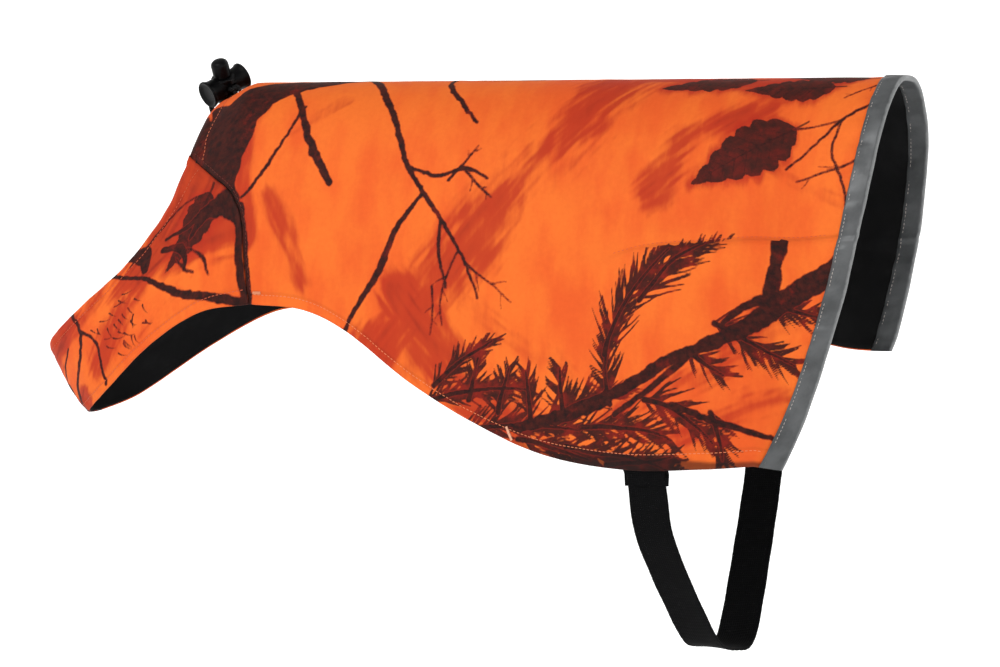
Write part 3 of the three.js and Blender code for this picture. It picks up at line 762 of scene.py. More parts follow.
@dataclass(frozen=True)
class PrintedCloth(Finish):
    """Blaze orange cloth with a woodland print held in vertex attributes, with painted shade and painted fold
    shadow.
    """

    light: tuple = ink(255, 120, 40)
    deep: tuple = ink(244, 98, 34)
    brick: tuple = ink(188, 43, 18)
    rust: tuple = ink(132, 26, 12)
    bark: tuple = ink(52, 18, 10)
    dark: tuple = ink(20, 8, 6)
    leaf: tuple = ink(92, 20, 11)

    def build(self, nodes: Nodes) -> None:
        """Layers the ground, clouds, leaves, needles and wood, then darkens the painted shade."""
        plane = nodes.named("plane", True)
        wide = nodes.noise(plane, 9, 3, 0.55)
        fine = nodes.noise(plane, 260, 3, 0.6)
        edge = nodes.swing(nodes.noise(plane, 420, 2), 1.5)
        grain = nodes.noise(nodes.stretch(plane, (1, 0.25, 1)), 90, 4, 0.6)

        # Long soft streaks of darker orange: partly the cloth's own mottled tone, partly painted fold shadow.
        streaks_and_fold_shade = nodes.noise(nodes.stretch(plane, (1.0, 0.35, 1.0)), 34, 4, 0.6)
        ground = nodes.mix(nodes.ramp(nodes.plus(wide, streaks_and_fold_shade), 0.82, 1.22), self.light, self.deep)
        cloud = nodes.plus(nodes.named("cloud"), nodes.swing(grain, 0.7))
        colour = nodes.mix(nodes.ramp(cloud, 0.22, 0.8, 0, 0.84), ground, self.brick)
        colour = nodes.mix(nodes.ramp(cloud, 0.8, 1.5, 0, 0.75), colour, self.rust)

        leaf = nodes.plus(nodes.named("leaf"), edge, 1.2)
        halo = nodes.ramp(nodes.plus(leaf, nodes.swing(grain, 16)), 7, -1)
        colour = nodes.mix(nodes.math("MULTIPLY", halo, 0.8), colour, self.brick)
        blade = nodes.mix(nodes.ramp(nodes.noise(plane, 75, 4, 0.65), 0.42, 0.66), self.bark, self.leaf)
        colour = nodes.mix(nodes.ramp(leaf, 0.5, -0.5), colour, blade)
        vein = nodes.plus(nodes.named("vein"), edge, 0.4)
        colour = nodes.mix(nodes.ramp(vein, 0.35, -0.35, 0, 0.8), colour, self.dark)

        needle = nodes.plus(nodes.named("needle"), edge, 0.3)
        blades = nodes.mix(nodes.ramp(nodes.noise(plane, 60, 3, 0.6), 0.44, 0.68), self.bark, self.rust)
        colour = nodes.mix(nodes.ramp(needle, 0.35, -0.35), colour, blades)

        wood = nodes.plus(nodes.named("wood"), edge, 0.8)
        colour = nodes.mix(nodes.ramp(wood, 0.9, 0.0, 0, 0.7), colour, self.rust)
        bark = nodes.mix(nodes.ramp(nodes.noise(plane, 150, 4, 0.7), 0.42, 0.62), self.dark, self.bark)
        bark = nodes.mix(nodes.ramp(nodes.noise(plane, 40, 4, 0.7), 0.56, 0.72, 0, 0.55), bark, self.rust)
        colour = nodes.mix(nodes.ramp(wood, 0.3, -0.5), colour, bark)

        colour = nodes.mix(nodes.ramp(fine, 0.25, 0.75, 0.0, 0.10), colour, self.brick)
        # Painted shade: the shade attribute darkens the cloth under the curled hem and in the sunken seams,
        # darts and stitch rows.
        colour = nodes.mix(nodes.math("MULTIPLY", nodes.named("shade"), 0.85), colour, self.dark)
        nodes.shade(Base_Color=colour, Roughness=0.74, Specular_IOR_Level=0.14, Sheen_Weight=0.05,
                    Sheen_Roughness=0.45, Sheen_Tint=ink(255, 150, 100))
        nodes.bumped(nodes.noise(plane, 1500, 2, 0.6), 0.22, 0.0003)


@dataclass(frozen=True)
class PlainCloth(Finish):
    """Cloth of one colour with a fine weave.

    Attributes:
        colour: Its colour.
        worn: Colour of its rubbed patches.
        rough: Its roughness.
        threads: Threads in a metre.
        depth: Depth of the weave's bump.
    """

    colour: tuple = ink(8, 8, 9)
    worn: tuple = ink(20, 20, 21)
    rough: float = 0.85
    threads: float = 420.0
    depth: float = 0.25

    def build(self, nodes: Nodes) -> None:
        """Weaves the cloth."""
        plane = nodes.named("plane", True)
        patch = nodes.ramp(nodes.noise(plane, 30, 4, 0.6), 0.42, 0.72)
        warp, weft = nodes.wave(plane, self.threads, "X"), nodes.wave(plane, self.threads, "Y")
        colour = nodes.mix(patch, self.colour, self.worn)
        nodes.shade(Base_Color=colour, Roughness=self.rough, Specular_IOR_Level=0.12, Sheen_Weight=0.03,
                    Sheen_Roughness=0.5)
        nodes.bumped(nodes.math("MULTIPLY", warp, weft), self.depth, 0.0004)


@dataclass(frozen=True)
class ReflectiveTape(Finish):
    """Grey glass-bead tape: mottled, a little glossy, with a painted highlight of paler grey along its fold.
    """

    colour: tuple = ink(93, 95, 96)
    dull: tuple = ink(70, 72, 73)
    fold_highlight_grey: tuple = ink(148, 150, 150)

    def build(self, nodes: Nodes) -> None:
        """Mottles the tape and paints a highlight along its fold."""
        plane = nodes.named("plane", True)
        patch = nodes.ramp(nodes.noise(plane, 34, 4, 0.6), 0.35, 0.68)
        colour = nodes.mix(patch, self.colour, self.dull)
        # Painted highlight: paler grey along the tape's fold.
        edge = nodes.plus(nodes.named("rub"), nodes.swing(nodes.noise(plane, 160, 3), 0.7))
        colour = nodes.mix(nodes.ramp(edge, 0.45, 1.0, 0, 0.85), colour, self.fold_highlight_grey)
        gloss = nodes.ramp(patch, 0, 1, 0.4, 0.55)
        nodes.shade(Base_Color=colour, Metallic=0.1, Roughness=gloss, Specular_IOR_Level=0.3)
        nodes.bumped(nodes.noise(plane, 700, 3, 0.6), 0.25, 0.0003)


@dataclass(frozen=True)
class Elastic(Finish):
    """Black elastic webbing with cross ribs."""

    colour: tuple = ink(4, 4, 5)
    lit: tuple = ink(13, 13, 14)

    def build(self, nodes: Nodes) -> None:
        """Ribs the webbing across and along."""
        plane = nodes.named("plane", True)
        ribs = nodes.wave(plane, 210, "X")
        cords = nodes.wave(plane, 190, "Y")
        height = nodes.plus(nodes.math("MULTIPLY", ribs, 0.7), cords, 0.5)
        colour = nodes.mix(nodes.ramp(ribs, 0.3, 0.9, 0, 0.6), self.colour, self.lit)
        nodes.shade(Base_Color=colour, Roughness=0.85, Specular_IOR_Level=0.07, Sheen_Weight=0.01,
                    Sheen_Roughness=0.4)
        nodes.bumped(height, 0.5, 0.0006)


@dataclass(frozen=True)
class Braid(Finish):
    """Black braided cord."""

    colour: tuple = ink(8, 8, 9)
    lit: tuple = ink(26, 26, 27)

    def build(self, nodes: Nodes) -> None:
        """Crosses two diagonal sets of strands."""
        plane = nodes.named("plane", True)
        one = nodes.wave(plane, 260, "DIAGONAL")
        two = nodes.wave(nodes.stretch(plane, (1, -1, 1)), 260, "DIAGONAL")
        height = nodes.math("MAXIMUM", one, two)
        colour = nodes.mix(nodes.ramp(height, 0.5, 1.0, 0, 0.7), self.colour, self.lit)
        nodes.shade(Base_Color=colour, Roughness=0.72, Specular_IOR_Level=0.15)
        nodes.bumped(height, 0.6, 0.0005)


@dataclass(frozen=True)
class Thread(Finish):
    """Sewing thread."""

    colour: tuple = ink(244, 138, 88)

    def build(self, nodes: Nodes) -> None:
        """Sets a plain satin thread."""
        nodes.shade(Base_Color=self.colour, Roughness=0.6, Specular_IOR_Level=0.3)


@dataclass(frozen=True)
class Plastic(Finish):
    """Moulded black plastic with a slight grain."""

    colour: tuple = ink(4, 4, 5)

    def build(self, nodes: Nodes) -> None:
        """Grains the plastic."""
        place = nodes.tree.nodes.new("ShaderNodeTexCoord").outputs["Object"]
        grain = nodes.noise(place, 900, 3, 0.6)
        scuff = nodes.ramp(nodes.noise(place, 140, 4, 0.7), 0.5, 0.72, 0, 0.5)
        colour = nodes.mix(scuff, self.colour, ink(14, 14, 15))
        gloss = nodes.ramp(grain, 0.3, 0.7, 0.34, 0.46)
        nodes.shade(Base_Color=colour, Roughness=gloss, Specular_IOR_Level=0.08)
        nodes.bumped(grain, 0.12, 0.0002)


@dataclass(frozen=True)
class Steel(Finish):
    """Plain spring wire."""

    colour: tuple = ink(170, 172, 174)

    def build(self, nodes: Nodes) -> None:
        """Sets bare steel."""
        nodes.shade(Base_Color=self.colour, Metallic=1.0, Roughness=0.3)


@dataclass(frozen=True)
class PaleFloor(Finish):
    """The pale studio floor."""

    def build(self, nodes: Nodes) -> None:
        """Sets a matte white."""
        nodes.shade(Base_Color=(0.88, 0.88, 0.88, 1), Roughness=0.9, Specular_IOR_Level=0.1,
                    Emission_Color=(1, 1, 1, 1), Emission_Strength=0.55)


# -------- the woodland print


class Ink(Enum):
    """Which layer of the print a mark belongs to."""

    WOOD = "wood"
    NEEDLE = "needle"
    LEAF = "leaf"
    VEIN = "vein"
    CLOUD = "cloud"


def beside(x: Array, y: Array, a: Array, b: Array) -> tuple[Array, Array, Array]:
    """Returns how far along a to b each place is, as a share, and its steps away from that line."""
    run = b - a
    share = ((x - a[0]) * run[0] + (y - a[1]) * run[1]) / max(run @ run, 1e-9)
    share = np.clip(share, 0, 1)
    return share, x - a[0] - share * run[0], y - a[1] - share * run[1]


class PrintRoll:
    """A flat roll of cloth on which marks are drawn; each layer holds distances in millimetres."""

    FAR_OFF = 30.0

    def __init__(self, low: Place, high: Place, pitch: float = 0.8) -> None:
        """Lays out the roll.

        Args:
            low: Lowest corner of the cloth's plane.
            high: Highest corner.
            pitch: Spacing of its points.
        """
        self.low, self.pitch = np.array(low, float), pitch
        self.shape = tuple(int(n) + 2 for n in (np.array(high) - self.low) / pitch)
        self.layers = {kind: np.full(self.shape, self.FAR_OFF) for kind in Ink}
        self.layers[Ink.CLOUD] = np.zeros(self.shape)
        self.random = np.random.default_rng(SEED)

    def window(self, points: Array, margin: float) -> tuple[slice, slice, Array, Array]:
        """Returns the part of the roll round some points, as slices and coordinates."""
        size = np.array(self.shape)
        first = np.clip(np.floor((points.min(0) - margin - self.low) / self.pitch).astype(int), 0, size)
        last = np.clip(np.ceil((points.max(0) + margin - self.low) / self.pitch).astype(int) + 1, 0, size)
        x = self.low[0] + self.pitch * np.arange(first[0], last[0])[:, None]
        y = self.low[1] + self.pitch * np.arange(first[1], last[1])[None, :]
        return slice(first[0], last[0]), slice(first[1], last[1]), x, y

    def stroke(self, kind: Ink, points: Array, radii: Array) -> None:
        """Draws a tapering stroke through points."""
        points = np.asarray(points, float)
        reach = 5.0 if kind in (Ink.NEEDLE, Ink.VEIN) else 12.0
        for a, b, ra, rb in zip(points[:-1], points[1:], radii[:-1], radii[1:]):
            rows, columns, x, y = self.window(np.stack([a, b]), reach + max(ra, rb))
            if x.size == 0 or y.size == 0:
                continue
            share, off_x, off_y = beside(x, y, a, b)
            away = np.hypot(off_x, off_y) - (ra + (rb - ra) * share)
            part = self.layers[kind][rows, columns]
            np.minimum(part, away, out=part)

    def wandering(
        self, start: Array, heading: float, length: float, bend: float, wander: float, step: float,
    ) -> Array:
        """Returns a line that bends steadily and wanders.

        Args:
            start: Where it starts.
            heading: Its first direction, in degrees.
            length: Its length.
            bend: How far it turns in all, in degrees.
            wander: Spread of its random turns at each step, in degrees.
            step: Length of a step.
        """
        count = max(int(length / step), 2)
        stray = np.cumsum(self.random.normal(0, wander, count)) * 0.6
        turns = np.radians(heading + bend * np.arange(count) / count + stray)
        moves = np.stack([np.cos(turns), np.sin(turns)], -1) * (length / count)
        return np.concatenate([[start], start + np.cumsum(moves, 0)])

    def branch(
        self, start: Place, heading: float, length: float, radius: float, bend: float = 0.0,
        tip: float = 0.25, wander: float = 7.0, twigs: int = 0, depth: int = 2,
    ) -> Array:
        """Draws a branch with side twigs and returns its line.

        Args:
            start: Where it starts.
            heading: Its first direction, in degrees.
            length: Its length.
            radius: Its radius at the start.
            bend: How far it turns in all, in degrees.
            tip: Radius at its tip as a share of radius.
            wander: Spread of its random turns.
            twigs: How many side twigs it has.
            depth: How many times twigs may carry twigs.
        """
        line = self.wandering(np.array(start, float), heading, length, bend, wander, 5.0)
        share = np.linspace(0, 1, len(line))
        knobs = 1 + 0.16 * self.random.normal(0, 1, len(line))
        radii = radius * (1 - (1 - tip) * share) * np.clip(knobs, 0.7, 1.4)
        self.stroke(Ink.WOOD, line, radii)
        for k in range(twigs):
            at = int(len(line) * (0.25 + 0.65 * (k + 0.5) / twigs))
            way = line[min(at + 1, len(line) - 1)] - line[at - 1]
            own = math.degrees(math.atan2(way[1], way[0]))
            side = 1 if (k + depth) % 2 else -1
            turn = side * self.random.uniform(32, 62)
            size = length * self.random.uniform(0.16, 0.30) * (1.15 - share[at] * 0.5)
            self.branch(
                tuple(line[at]), own + turn, size, radii[at] * 0.62, -turn * 0.3, 0.3, wander * 1.3,
                2 if depth > 1 and size > 18 else 0, depth - 1,
            )
        return line

    def limb(self, points: Sequence[Place], radii: Sequence[float], rough: float = 0.09) -> None:
        """Draws a limb of given thickness through points.

        Args:
            points: Its line.
            radii: Its radius, spread evenly over the line.
            rough: Spread of its bark's knobs, as a share of its radius.
        """
        count = max(int(run_along(np.array(points, float))[-1] / 3.5), 6)
        share = np.linspace(0, 1, count)
        line = chord_knots(points)(share) + self.random.normal(0, 0.35, (count, 2))
        wide = np.interp(share, np.linspace(0, 1, len(radii)), radii)
        self.stroke(Ink.WOOD, line, wide * (1 + rough * self.random.normal(0, 1, count)))

    def bough(
        self, start: Place, heading: float, length: float, bend: float = 0.0,
        needle: float = 26.0, spread: float = 44.0, stem: float = 2.1, density: float = 0.8,
    ) -> None:
        """Draws a pine bough: a stem with needles swept towards its tip.

        Args:
            start: Where its stem starts.
            heading: The stem's first direction, in degrees.
            length: The stem's length.
            bend: How far the stem turns in all.
            needle: Length of a needle.
            spread: Angle between stem and needles.
            stem: The stem's radius.
            density: Needles for each millimetre of stem.
        """
        line = self.wandering(np.array(start, float), heading, length, bend, 4, 4.0)
        radii = np.linspace(stem, stem * 0.4, len(line))
        self.stroke(Ink.WOOD, line, radii)
        run = np.linspace(0, len(line) - 1.001, int(length * density))
        for place in run:
            i = int(place)
            base = line[i] + (line[i + 1] - line[i]) * (place - i)
            way = line[i + 1] - line[i]
            own = math.degrees(math.atan2(way[1], way[0]))
            end = 1 - 0.45 * (place / len(line)) ** 2
            side = self.random.choice((-1, 1))
            turn = side * (spread * self.random.uniform(0.5, 1.35)) * (1 - 0.4 * place / len(line))
            size = needle * end * self.random.uniform(0.7, 1.15)
            blade = self.wandering(base, own + turn, size, -turn * 0.2 + 8, 2.5, size / 4)
            thick = self.random.uniform(0.95, 1.4)
            self.stroke(Ink.NEEDLE, blade, np.linspace(thick, 0.55, len(blade)))

    def leaf(self, base: Place, heading: float, length: float, width: float, teeth: float) -> None:
        """Draws a leaf with its veins.

        Args:
            base: Where its stalk joins it.
            heading: Direction from stalk to tip, in degrees.
            length: Its length.
            width: Its full width.
            teeth: Depth of its toothed edge, as a share of its width.
        """
        turn = math.radians(heading)
        way = np.array([math.cos(turn), math.sin(turn)])
        across = np.array([-math.sin(turn), math.cos(turn)])
        start = np.array(base, float)
        rows, columns, x, y = self.window(np.stack([start, start + way * length]), width + 12)
        if x.size and y.size:
            u = ((x - start[0]) * way[0] + (y - start[1]) * way[1]) / length
            v = (x - start[0]) * across[0] + (y - start[1]) * across[1]
            inside = np.clip(u, 0, 1)
            half = 0.5 * width * np.sin(math.pi * inside ** 0.75) ** 0.9 * (1 - 0.35 * inside)
            lobes = np.abs(np.sin(inside * 21 + 0.8 * np.sign(v))) ** 0.6
            ragged = 0.8 * soft_noise(x + 0 * y, y + 0 * x, 3.1, 33)
            over = np.abs(v) - half * (1 + teeth * (lobes - 0.5) * 2) + ragged
            beyond = np.hypot((u - inside) * length, np.maximum(over, 0))
            away = np.where((u < 0) | (u > 1), beyond, over * 0.8)
            part = self.layers[Ink.LEAF][rows, columns]
            np.minimum(part, away, out=part)
        rib = np.stack([start - way * length * 0.12, start + way * length * 0.95])
        self.stroke(Ink.VEIN, rib, (0.9, 0.3))
        for share in np.linspace(0.12, 0.8, 7):
            reach = 0.36 * width * math.sin(math.pi * share ** 0.8) * (1 - 0.3 * share)
            foot = start + way * length * share
            for side in (-1, 1):
                end = foot + side * across * reach + way * reach * 0.75
                self.stroke(Ink.VEIN, np.stack([foot, end]), (0.7, 0.4))

    def cloud(self, points: Sequence[Place], width: float, strength: float) -> None:
        """Draws a soft smudge along points."""
        place = np.array(points, float)
        rows, columns, x, y = self.window(place, width * 2.2)
        if not (x.size and y.size):
            return
        away = np.full(np.broadcast_shapes(x.shape, y.shape), 1e9)
        for a, b in zip(place[:-1], place[1:]):
            away = np.minimum(away, np.hypot(*beside(x, y, a, b)[1:]))
        run = unit(place[-1] - place[0])
        along, across = x * run[0] + y * run[1], y * run[0] - x * run[1]
        ragged = 0.30 * soft_noise(along, across, 34, 31) + 0.22 * soft_noise(along / 5, across, 3.2, 32)
        away = away + width * ragged
        streak = 0.85 + 0.22 * soft_noise(along / 7, across, 2.6, 34)
        part = self.layers[Ink.CLOUD][rows, columns]
        np.maximum(part, strength * streak * np.exp(-np.clip(away / width, 0, 9) ** 2 * 1.6), out=part)

    def read(self, x: Array, y: Array) -> dict[str, Array]:
        """Returns each layer's values at places on the roll."""
        u = np.clip((x - self.low[0]) / self.pitch, 0, self.shape[0] - 1.001)
        v = np.clip((y - self.low[1]) / self.pitch, 0, self.shape[1] - 1.001)
        i, j = u.astype(int), v.astype(int)
        a, b = u - i, v - j
        found = {}
        for kind, layer in self.layers.items():
            near = layer[i, j] * (1 - b) + layer[i, j + 1] * b
            far = layer[i + 1, j] * (1 - b) + layer[i + 1, j + 1] * b
            found[kind.value] = near * (1 - a) + far * a
        return found


def near_flank(roll: PrintRoll) -> None:
    """Draws the near flank: bare twigs to the front, pine boughs and leaves to the rear."""
    limbs = (
        (((-162, -6), (-148, -24), (-124, -66), (-108, -104), (-82, -140), (-60, -172), (-44, -206)),
         (2.6, 2.8, 2.0, 1.8, 1.6, 1.2, 0.8)),
        (((-94, -124), (-114, -152), (-128, -186), (-146, -212), (-158, -232)), (1.4, 2.0, 2.9, 2.0, 1.4)),
        (((-106, -104), (-84, -112), (-60, -108), (-42, -116)), (1.3, 1.3, 1.5, 0.9)),
        (((-78, -146), (-78, -172), (-70, -198)), (1.3, 1.3, 0.7)),
        (((-170, -7), (-110, -8), (-40, -12), (10, -8)), (1.8, 1.5, 1.6, 0.7)),
        (((-92, -10), (-90, -28), (-72, -52), (-58, -70)), (1.7, 1.9, 1.6, 1.2)),
        (((-214, -30), (-204, -50), (-192, -78), (-172, -112)), (2.6, 2.4, 3.2, 2.6)),
        (((-202, -48), (-212, -74), (-232, -108), (-244, -120)), (1.1, 0.9, 1.3, 1.0)),
        (((262, -172), (236, -188), (206, -206), (170, -236), (120, -262), (60, -286), (-10, -304)),
         (8.5, 8, 6.5, 4.6, 4.8, 5.2, 4)),
        (((206, -204), (180, -214), (156, -232)), (4, 3, 2)),
        (((146, -246), (112, -276), (70, -298)), (2.4, 2.6, 2.2)),
        (((196, -165), (193, -184), (189, -206)), (5.4, 5.0, 5.6)),
        (((212, -318), (184, -312), (150, -306), (120, -296)), (1.2, 2.0, 2.4, 2.8)),
        (((252, -46), (228, -62), (208, -84), (188, -104)), (0.9, 1.1, 0.8, 0.7)),
        (((226, -64), (222, -90), (232, -112), (238, -140)), (0.8, 0.9, 1.0, 0.7)),
    )
    for points, radii in limbs:
        roll.limb(points, radii)
    roll.branch((-62, -108), -46, 34, 1.2, 12, 0.5, 8, 3)
    roll.branch((-74, -116), 44, 34, 1.1, 6, 0.5, 8, 3)
    roll.branch((-62, -170), -112, 58, 1.0, 20, 0.5, 8, 3)
    roll.branch((-58, -176), -52, 54, 1.0, -10, 0.4, 7, 3)
    roll.branch((-82, -196), -84, 36, 0.9, 10, 0.5, 8, 2)
    roll.branch((246, -92), -150, 54, 0.9, 4, 0.5, 7, 2)
    roll.branch((252, -24), -150, 34, 0.8, 4, 0.5, 7, 2, 1)
    fans = (
        ((66, -290), 106, 52, -32, 25, 46), ((60, -252), 76, 92, -44, 32, 44),
        ((90, -216), 46, 66, -26, 34, 38), ((26, -294), 96, 34, 0, 20, 48),
        ((0, -296), 92, 34, 8, 19, 46), ((-26, -292), 84, 34, 0, 18, 46),
        ((-50, -282), 70, 32, 0, 17, 44), ((-78, -270), 44, 56, -16, 18, 42),
        ((-84, -282), 14, 82, -14, 20, 40), ((-56, -304), 8, 96, -6, 22, 42),
        ((10, -300), 26, 80, -20, 24, 44), ((40, -304), 2, 82, -16, 28, 44),
        ((28, -318), -8, 92, -10, 30, 44), ((96, -290), -22, 64, -34, 28, 42),
        ((148, -300), -66, 36, -10, 20, 44), ((150, -234), -20, 62, 6, 26, 50),
        ((186, -214), -6, 44, 4, 22, 46), ((132, -256), -40, 30, 16, 20, 48),
        ((-10, -312), -14, 60, -8, 24, 46), ((60, -334), 0, 60, 6, 22, 42),
    )
    for start, heading, length, bend, needle, spread in fans:
        roll.bough(start, heading, length, bend, needle, spread)
    roll.leaf((192, -71), 215, 90, 44, 0.15)
    roll.leaf((214, -30), 186, 70, 30, 0.16)
    roll.leaf((150, -20), 192, 74, 26, 0.16)
    roll.leaf((236, -14), 178, 64, 24, 0.16)
    roll.branch((190, -72), 6, 40, 0.8, 14, 0.6, 4, 0)
    for points, width, strength in (
        ([(74, 10), (30, -60), (-34, -140), (-96, -214), (-140, -256)], 36, 1.0),
        ([(-110, -196), (-70, -250)], 26, 1.1), ([(-64, -196), (-20, -236), (30, -262)], 18, 0.45),
        ([(170, -56), (112, -84), (88, -128)], 20, 1.05), ([(-170, -44), (-206, -70)], 10, 0.5),
        ([(-222, -120), (-190, -186)], 14, 0.8), ([(206, -206), (150, -270), (60, -300)], 22, 0.7),
        ([(60, -12), (150, -24), (216, -20)], 15, 1.0), ([(196, -282), (130, -318)], 18, 0.8),
        ([(-60, -272), (-10, -300)], 22, 1.0), ([(150, -96), (236, -128)], 12, 0.45),
    ):
        roll.cloud(points, width, strength)


def collar(roll: PrintRoll) -> None:
    """Draws the dark collar, one broad limb that widens round the nape to the shoulder seam."""
    roll.limb(
        ((-146, -3), (-186, -14), (-226, -26), (-252, -46), (-262, -72), (-266, -104), (-254, -124)),
        (2, 5, 9, 15, 20, 19, 8), 0.05,
    )
    roll.limb(((-290, -36), (-290, -58), (-284, -96), (-266, -118), (-252, -134)), (8, 17, 16, 13, 6), 0.05)
    roll.limb(((-278, -28), (-262, -58)), (3, 14), 0.05)
    roll.limb(((-244, -126), (-239, -160), (-236, -206)), (3.0, 2.2, 3.2))
    roll.branch((-256, -116), 240, 40, 2.0, 10, 0.4, 8, 2, 1)
    roll.cloud([(-236, -30), (-246, -96), (-238, -150)], 12, 1.1)
    roll.cloud([(-282, -8), (-286, -30)], 10, 0.7)


def far_flank(roll: PrintRoll) -> None:
    """Draws the spine and the far flank."""
    roll.branch((-170, 8), 46, 180, 2.6, 18, 0.35, 6, 6)
    roll.branch((-60, 50), 20, 150, 2.2, 26, 0.35, 7, 5)
    roll.branch((60, 24), 66, 190, 3.0, -12, 0.4, 6, 5)
    roll.branch((250, 116), 160, 150, 6.0, 10, 0.5, 4, 3)
    roll.limb(((-190, 8), (-226, 22), (-254, 44), (-266, 80), (-262, 116)), (4, 8, 14, 18, 8), 0.05)
    roll.limb(((-290, 40), (-284, 96)), (10, 14), 0.05)
    roll.limb(((-246, 120), (-240, 200)), (3, 3))
    fans = (
        ((-168, 196), -30, 84, 20), ((-140, 210), -10, 96, 10), ((-60, 214), -36, 76, 24),
        ((-30, 222), -12, 90, 10), ((40, 226), -40, 70, 20), ((80, 222), -16, 92, 10),
        ((150, 200), -30, 60, 20), ((190, 150), 20, 50, 10),
    )
    for start, heading, length, bend in fans:
        roll.bough(start, heading, length, bend)
    roll.leaf((150, 60), 30, 84, 46, 0.12)
    roll.leaf((20, 90), 70, 74, 40, 0.12)
    roll.leaf((186, 26), 12, 60, 26, 0.16)
    roll.leaf((60, 14), 20, 62, 24, 0.16)
    roll.cloud([(-210, 60), (-120, 120), (-60, 200)], 30, 1.0)
    roll.cloud([(40, 40), (120, 140), (210, 180)], 28, 0.9)


def back_print() -> PrintRoll:
    """Draws the back panel's print, over X and arc; the near side's arcs are negative."""
    roll = PrintRoll((-312, -352), (270, 266))
    near_flank(roll)
    collar(roll)
    far_flank(roll)
    return roll


def chest_print(breadth: float, height: float) -> PrintRoll:
    """Draws the chest panel's print, over its breadth and height."""
    roll = PrintRoll((-6, -14), (breadth + 6, height + 14))

    def turned(points: Sequence[Place], mirrored: bool) -> list[Place]:
        """Returns points, moved to the far half if mirrored."""
        return [(breadth - x if mirrored else x, y) for x, y in points]

    limbs = (
        (((112, -4), (94, 26), (72, 60), (46, 82), (2, 96)), (1.8, 1.6, 2.2, 2.8, 2.6)),
        (((0, 46), (4, 70), (2, 100)), (3.4, 3.0, 2.4)),
        (((44, 42), (24, 38), (8, 44), (-4, 60)), (1.2, 3.6, 5.4, 5)),
        (((88, 0), (78, 16), (84, 30)), (5, 7, 3)),
        (((64, 30), (52, 44), (54, 58)), (2.4, 3.4, 1.2)),
        (((58, 24), (40, 34), (18, 36), (-4, 40)), (1.2, 1.8, 2.0, 2.6)),
        (((48, 46), (36, 60), (30, 74)), (0.7, 1.2, 0.7)),
        (((60, 44), (54, 58), (44, 66)), (0.7, 1.1, 0.7)),
        (((92, 10), (70, 10), (40, 14), (20, 24)), (0.9, 1.2, 0.9, 0.7)),
        (((160, -4), (158, 24), (172, 52), (196, 80), (206, 100)), (1.8, 1.6, 1.8, 2.0, 2.4)),
        (((158, 24), (148, 52), (154, 92)), (1.4, 1.2, 1.4)),
        (((178, 30), (196, 44), (214, 74)), (1.2, 1.2, 1.8)),
        (((206, 64), (215, 92)), (5, 8)),
    )
    clouds = (
        (((0, 8), (40, 20), (96, 30)), 34, 1.3), (((0, 34), (44, 40), (84, 34)), 18, 1.35),
        (((0, 56), (50, 46)), 22, 1.15), (((112, 40), (150, 70)), 20, 0.9),
        (((172, 10), (212, 24)), 22, 1.25), (((186, 84), (215, 96)), 12, 1.3),
        (((60, 70), (100, 80)), 12, 0.6), (((120, 4), (160, 20)), 12, 0.7),
    )
    for mirrored in (False, True):
        for points, radii in limbs:
            roll.limb(turned(points, mirrored), radii)
        base = turned([(10, 30)], mirrored)[0]
        roll.leaf(base, 164 if mirrored else 16, 64, 25, 0.12)
        for row in range(4):
            for k in range(7):
                shift = roll.random.normal(0, 1.8, 2)
                spot = (108 + 6.4 * k - 5 * row + shift[0], 32 + 13 * row + 0.9 * k + shift[1])
                foot = turned([spot], mirrored)[0]
                heading = (72 if mirrored else 108) + roll.random.normal(0, 17)
                dash = roll.wandering(np.array(foot), heading, roll.random.uniform(9, 15), 30, 5, 2)
                roll.stroke(Ink.NEEDLE, dash, np.linspace(0.9, 0.4, len(dash)))
        for points, width, strength in clouds:
            roll.cloud(turned(points, mirrored), width, strength)
    return roll


# -------- sub-assemblies


def seat(made: Piece, body: str, slot: str, *nodes: str) -> Piece:
    """Puts a piece on its body and takes the place of CAD nodes."""
    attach(made, body)
    if nodes:
        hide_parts(*nodes)
    LOG.info("%s: %d vertices, rides on %s", made.name, len(made.data.vertices), body)
    return made


def fold_over(distance: Array, radius: float) -> tuple[Array, Array]:
    """Returns how far cloth runs on and how far it drops when it is turned under.

    Args:
        distance: Length of cloth past the start of the turn.
        radius: Radius of the turn.
    """
    turn = np.clip(distance / radius, 0, math.pi)
    past = np.maximum(distance - math.pi * radius, 0)
    return radius * np.sin(turn) - past, radius * (1 - np.cos(turn))


def turned_under(radius: float, under: float) -> Array:
    """Returns the lengths past a fold at which its cloth is drawn: round the turn, then flat under."""
    bend = math.pi * radius
    return np.concatenate([np.linspace(0, bend, 7)[1:], bend + np.linspace(0, under, 5)[1:]])


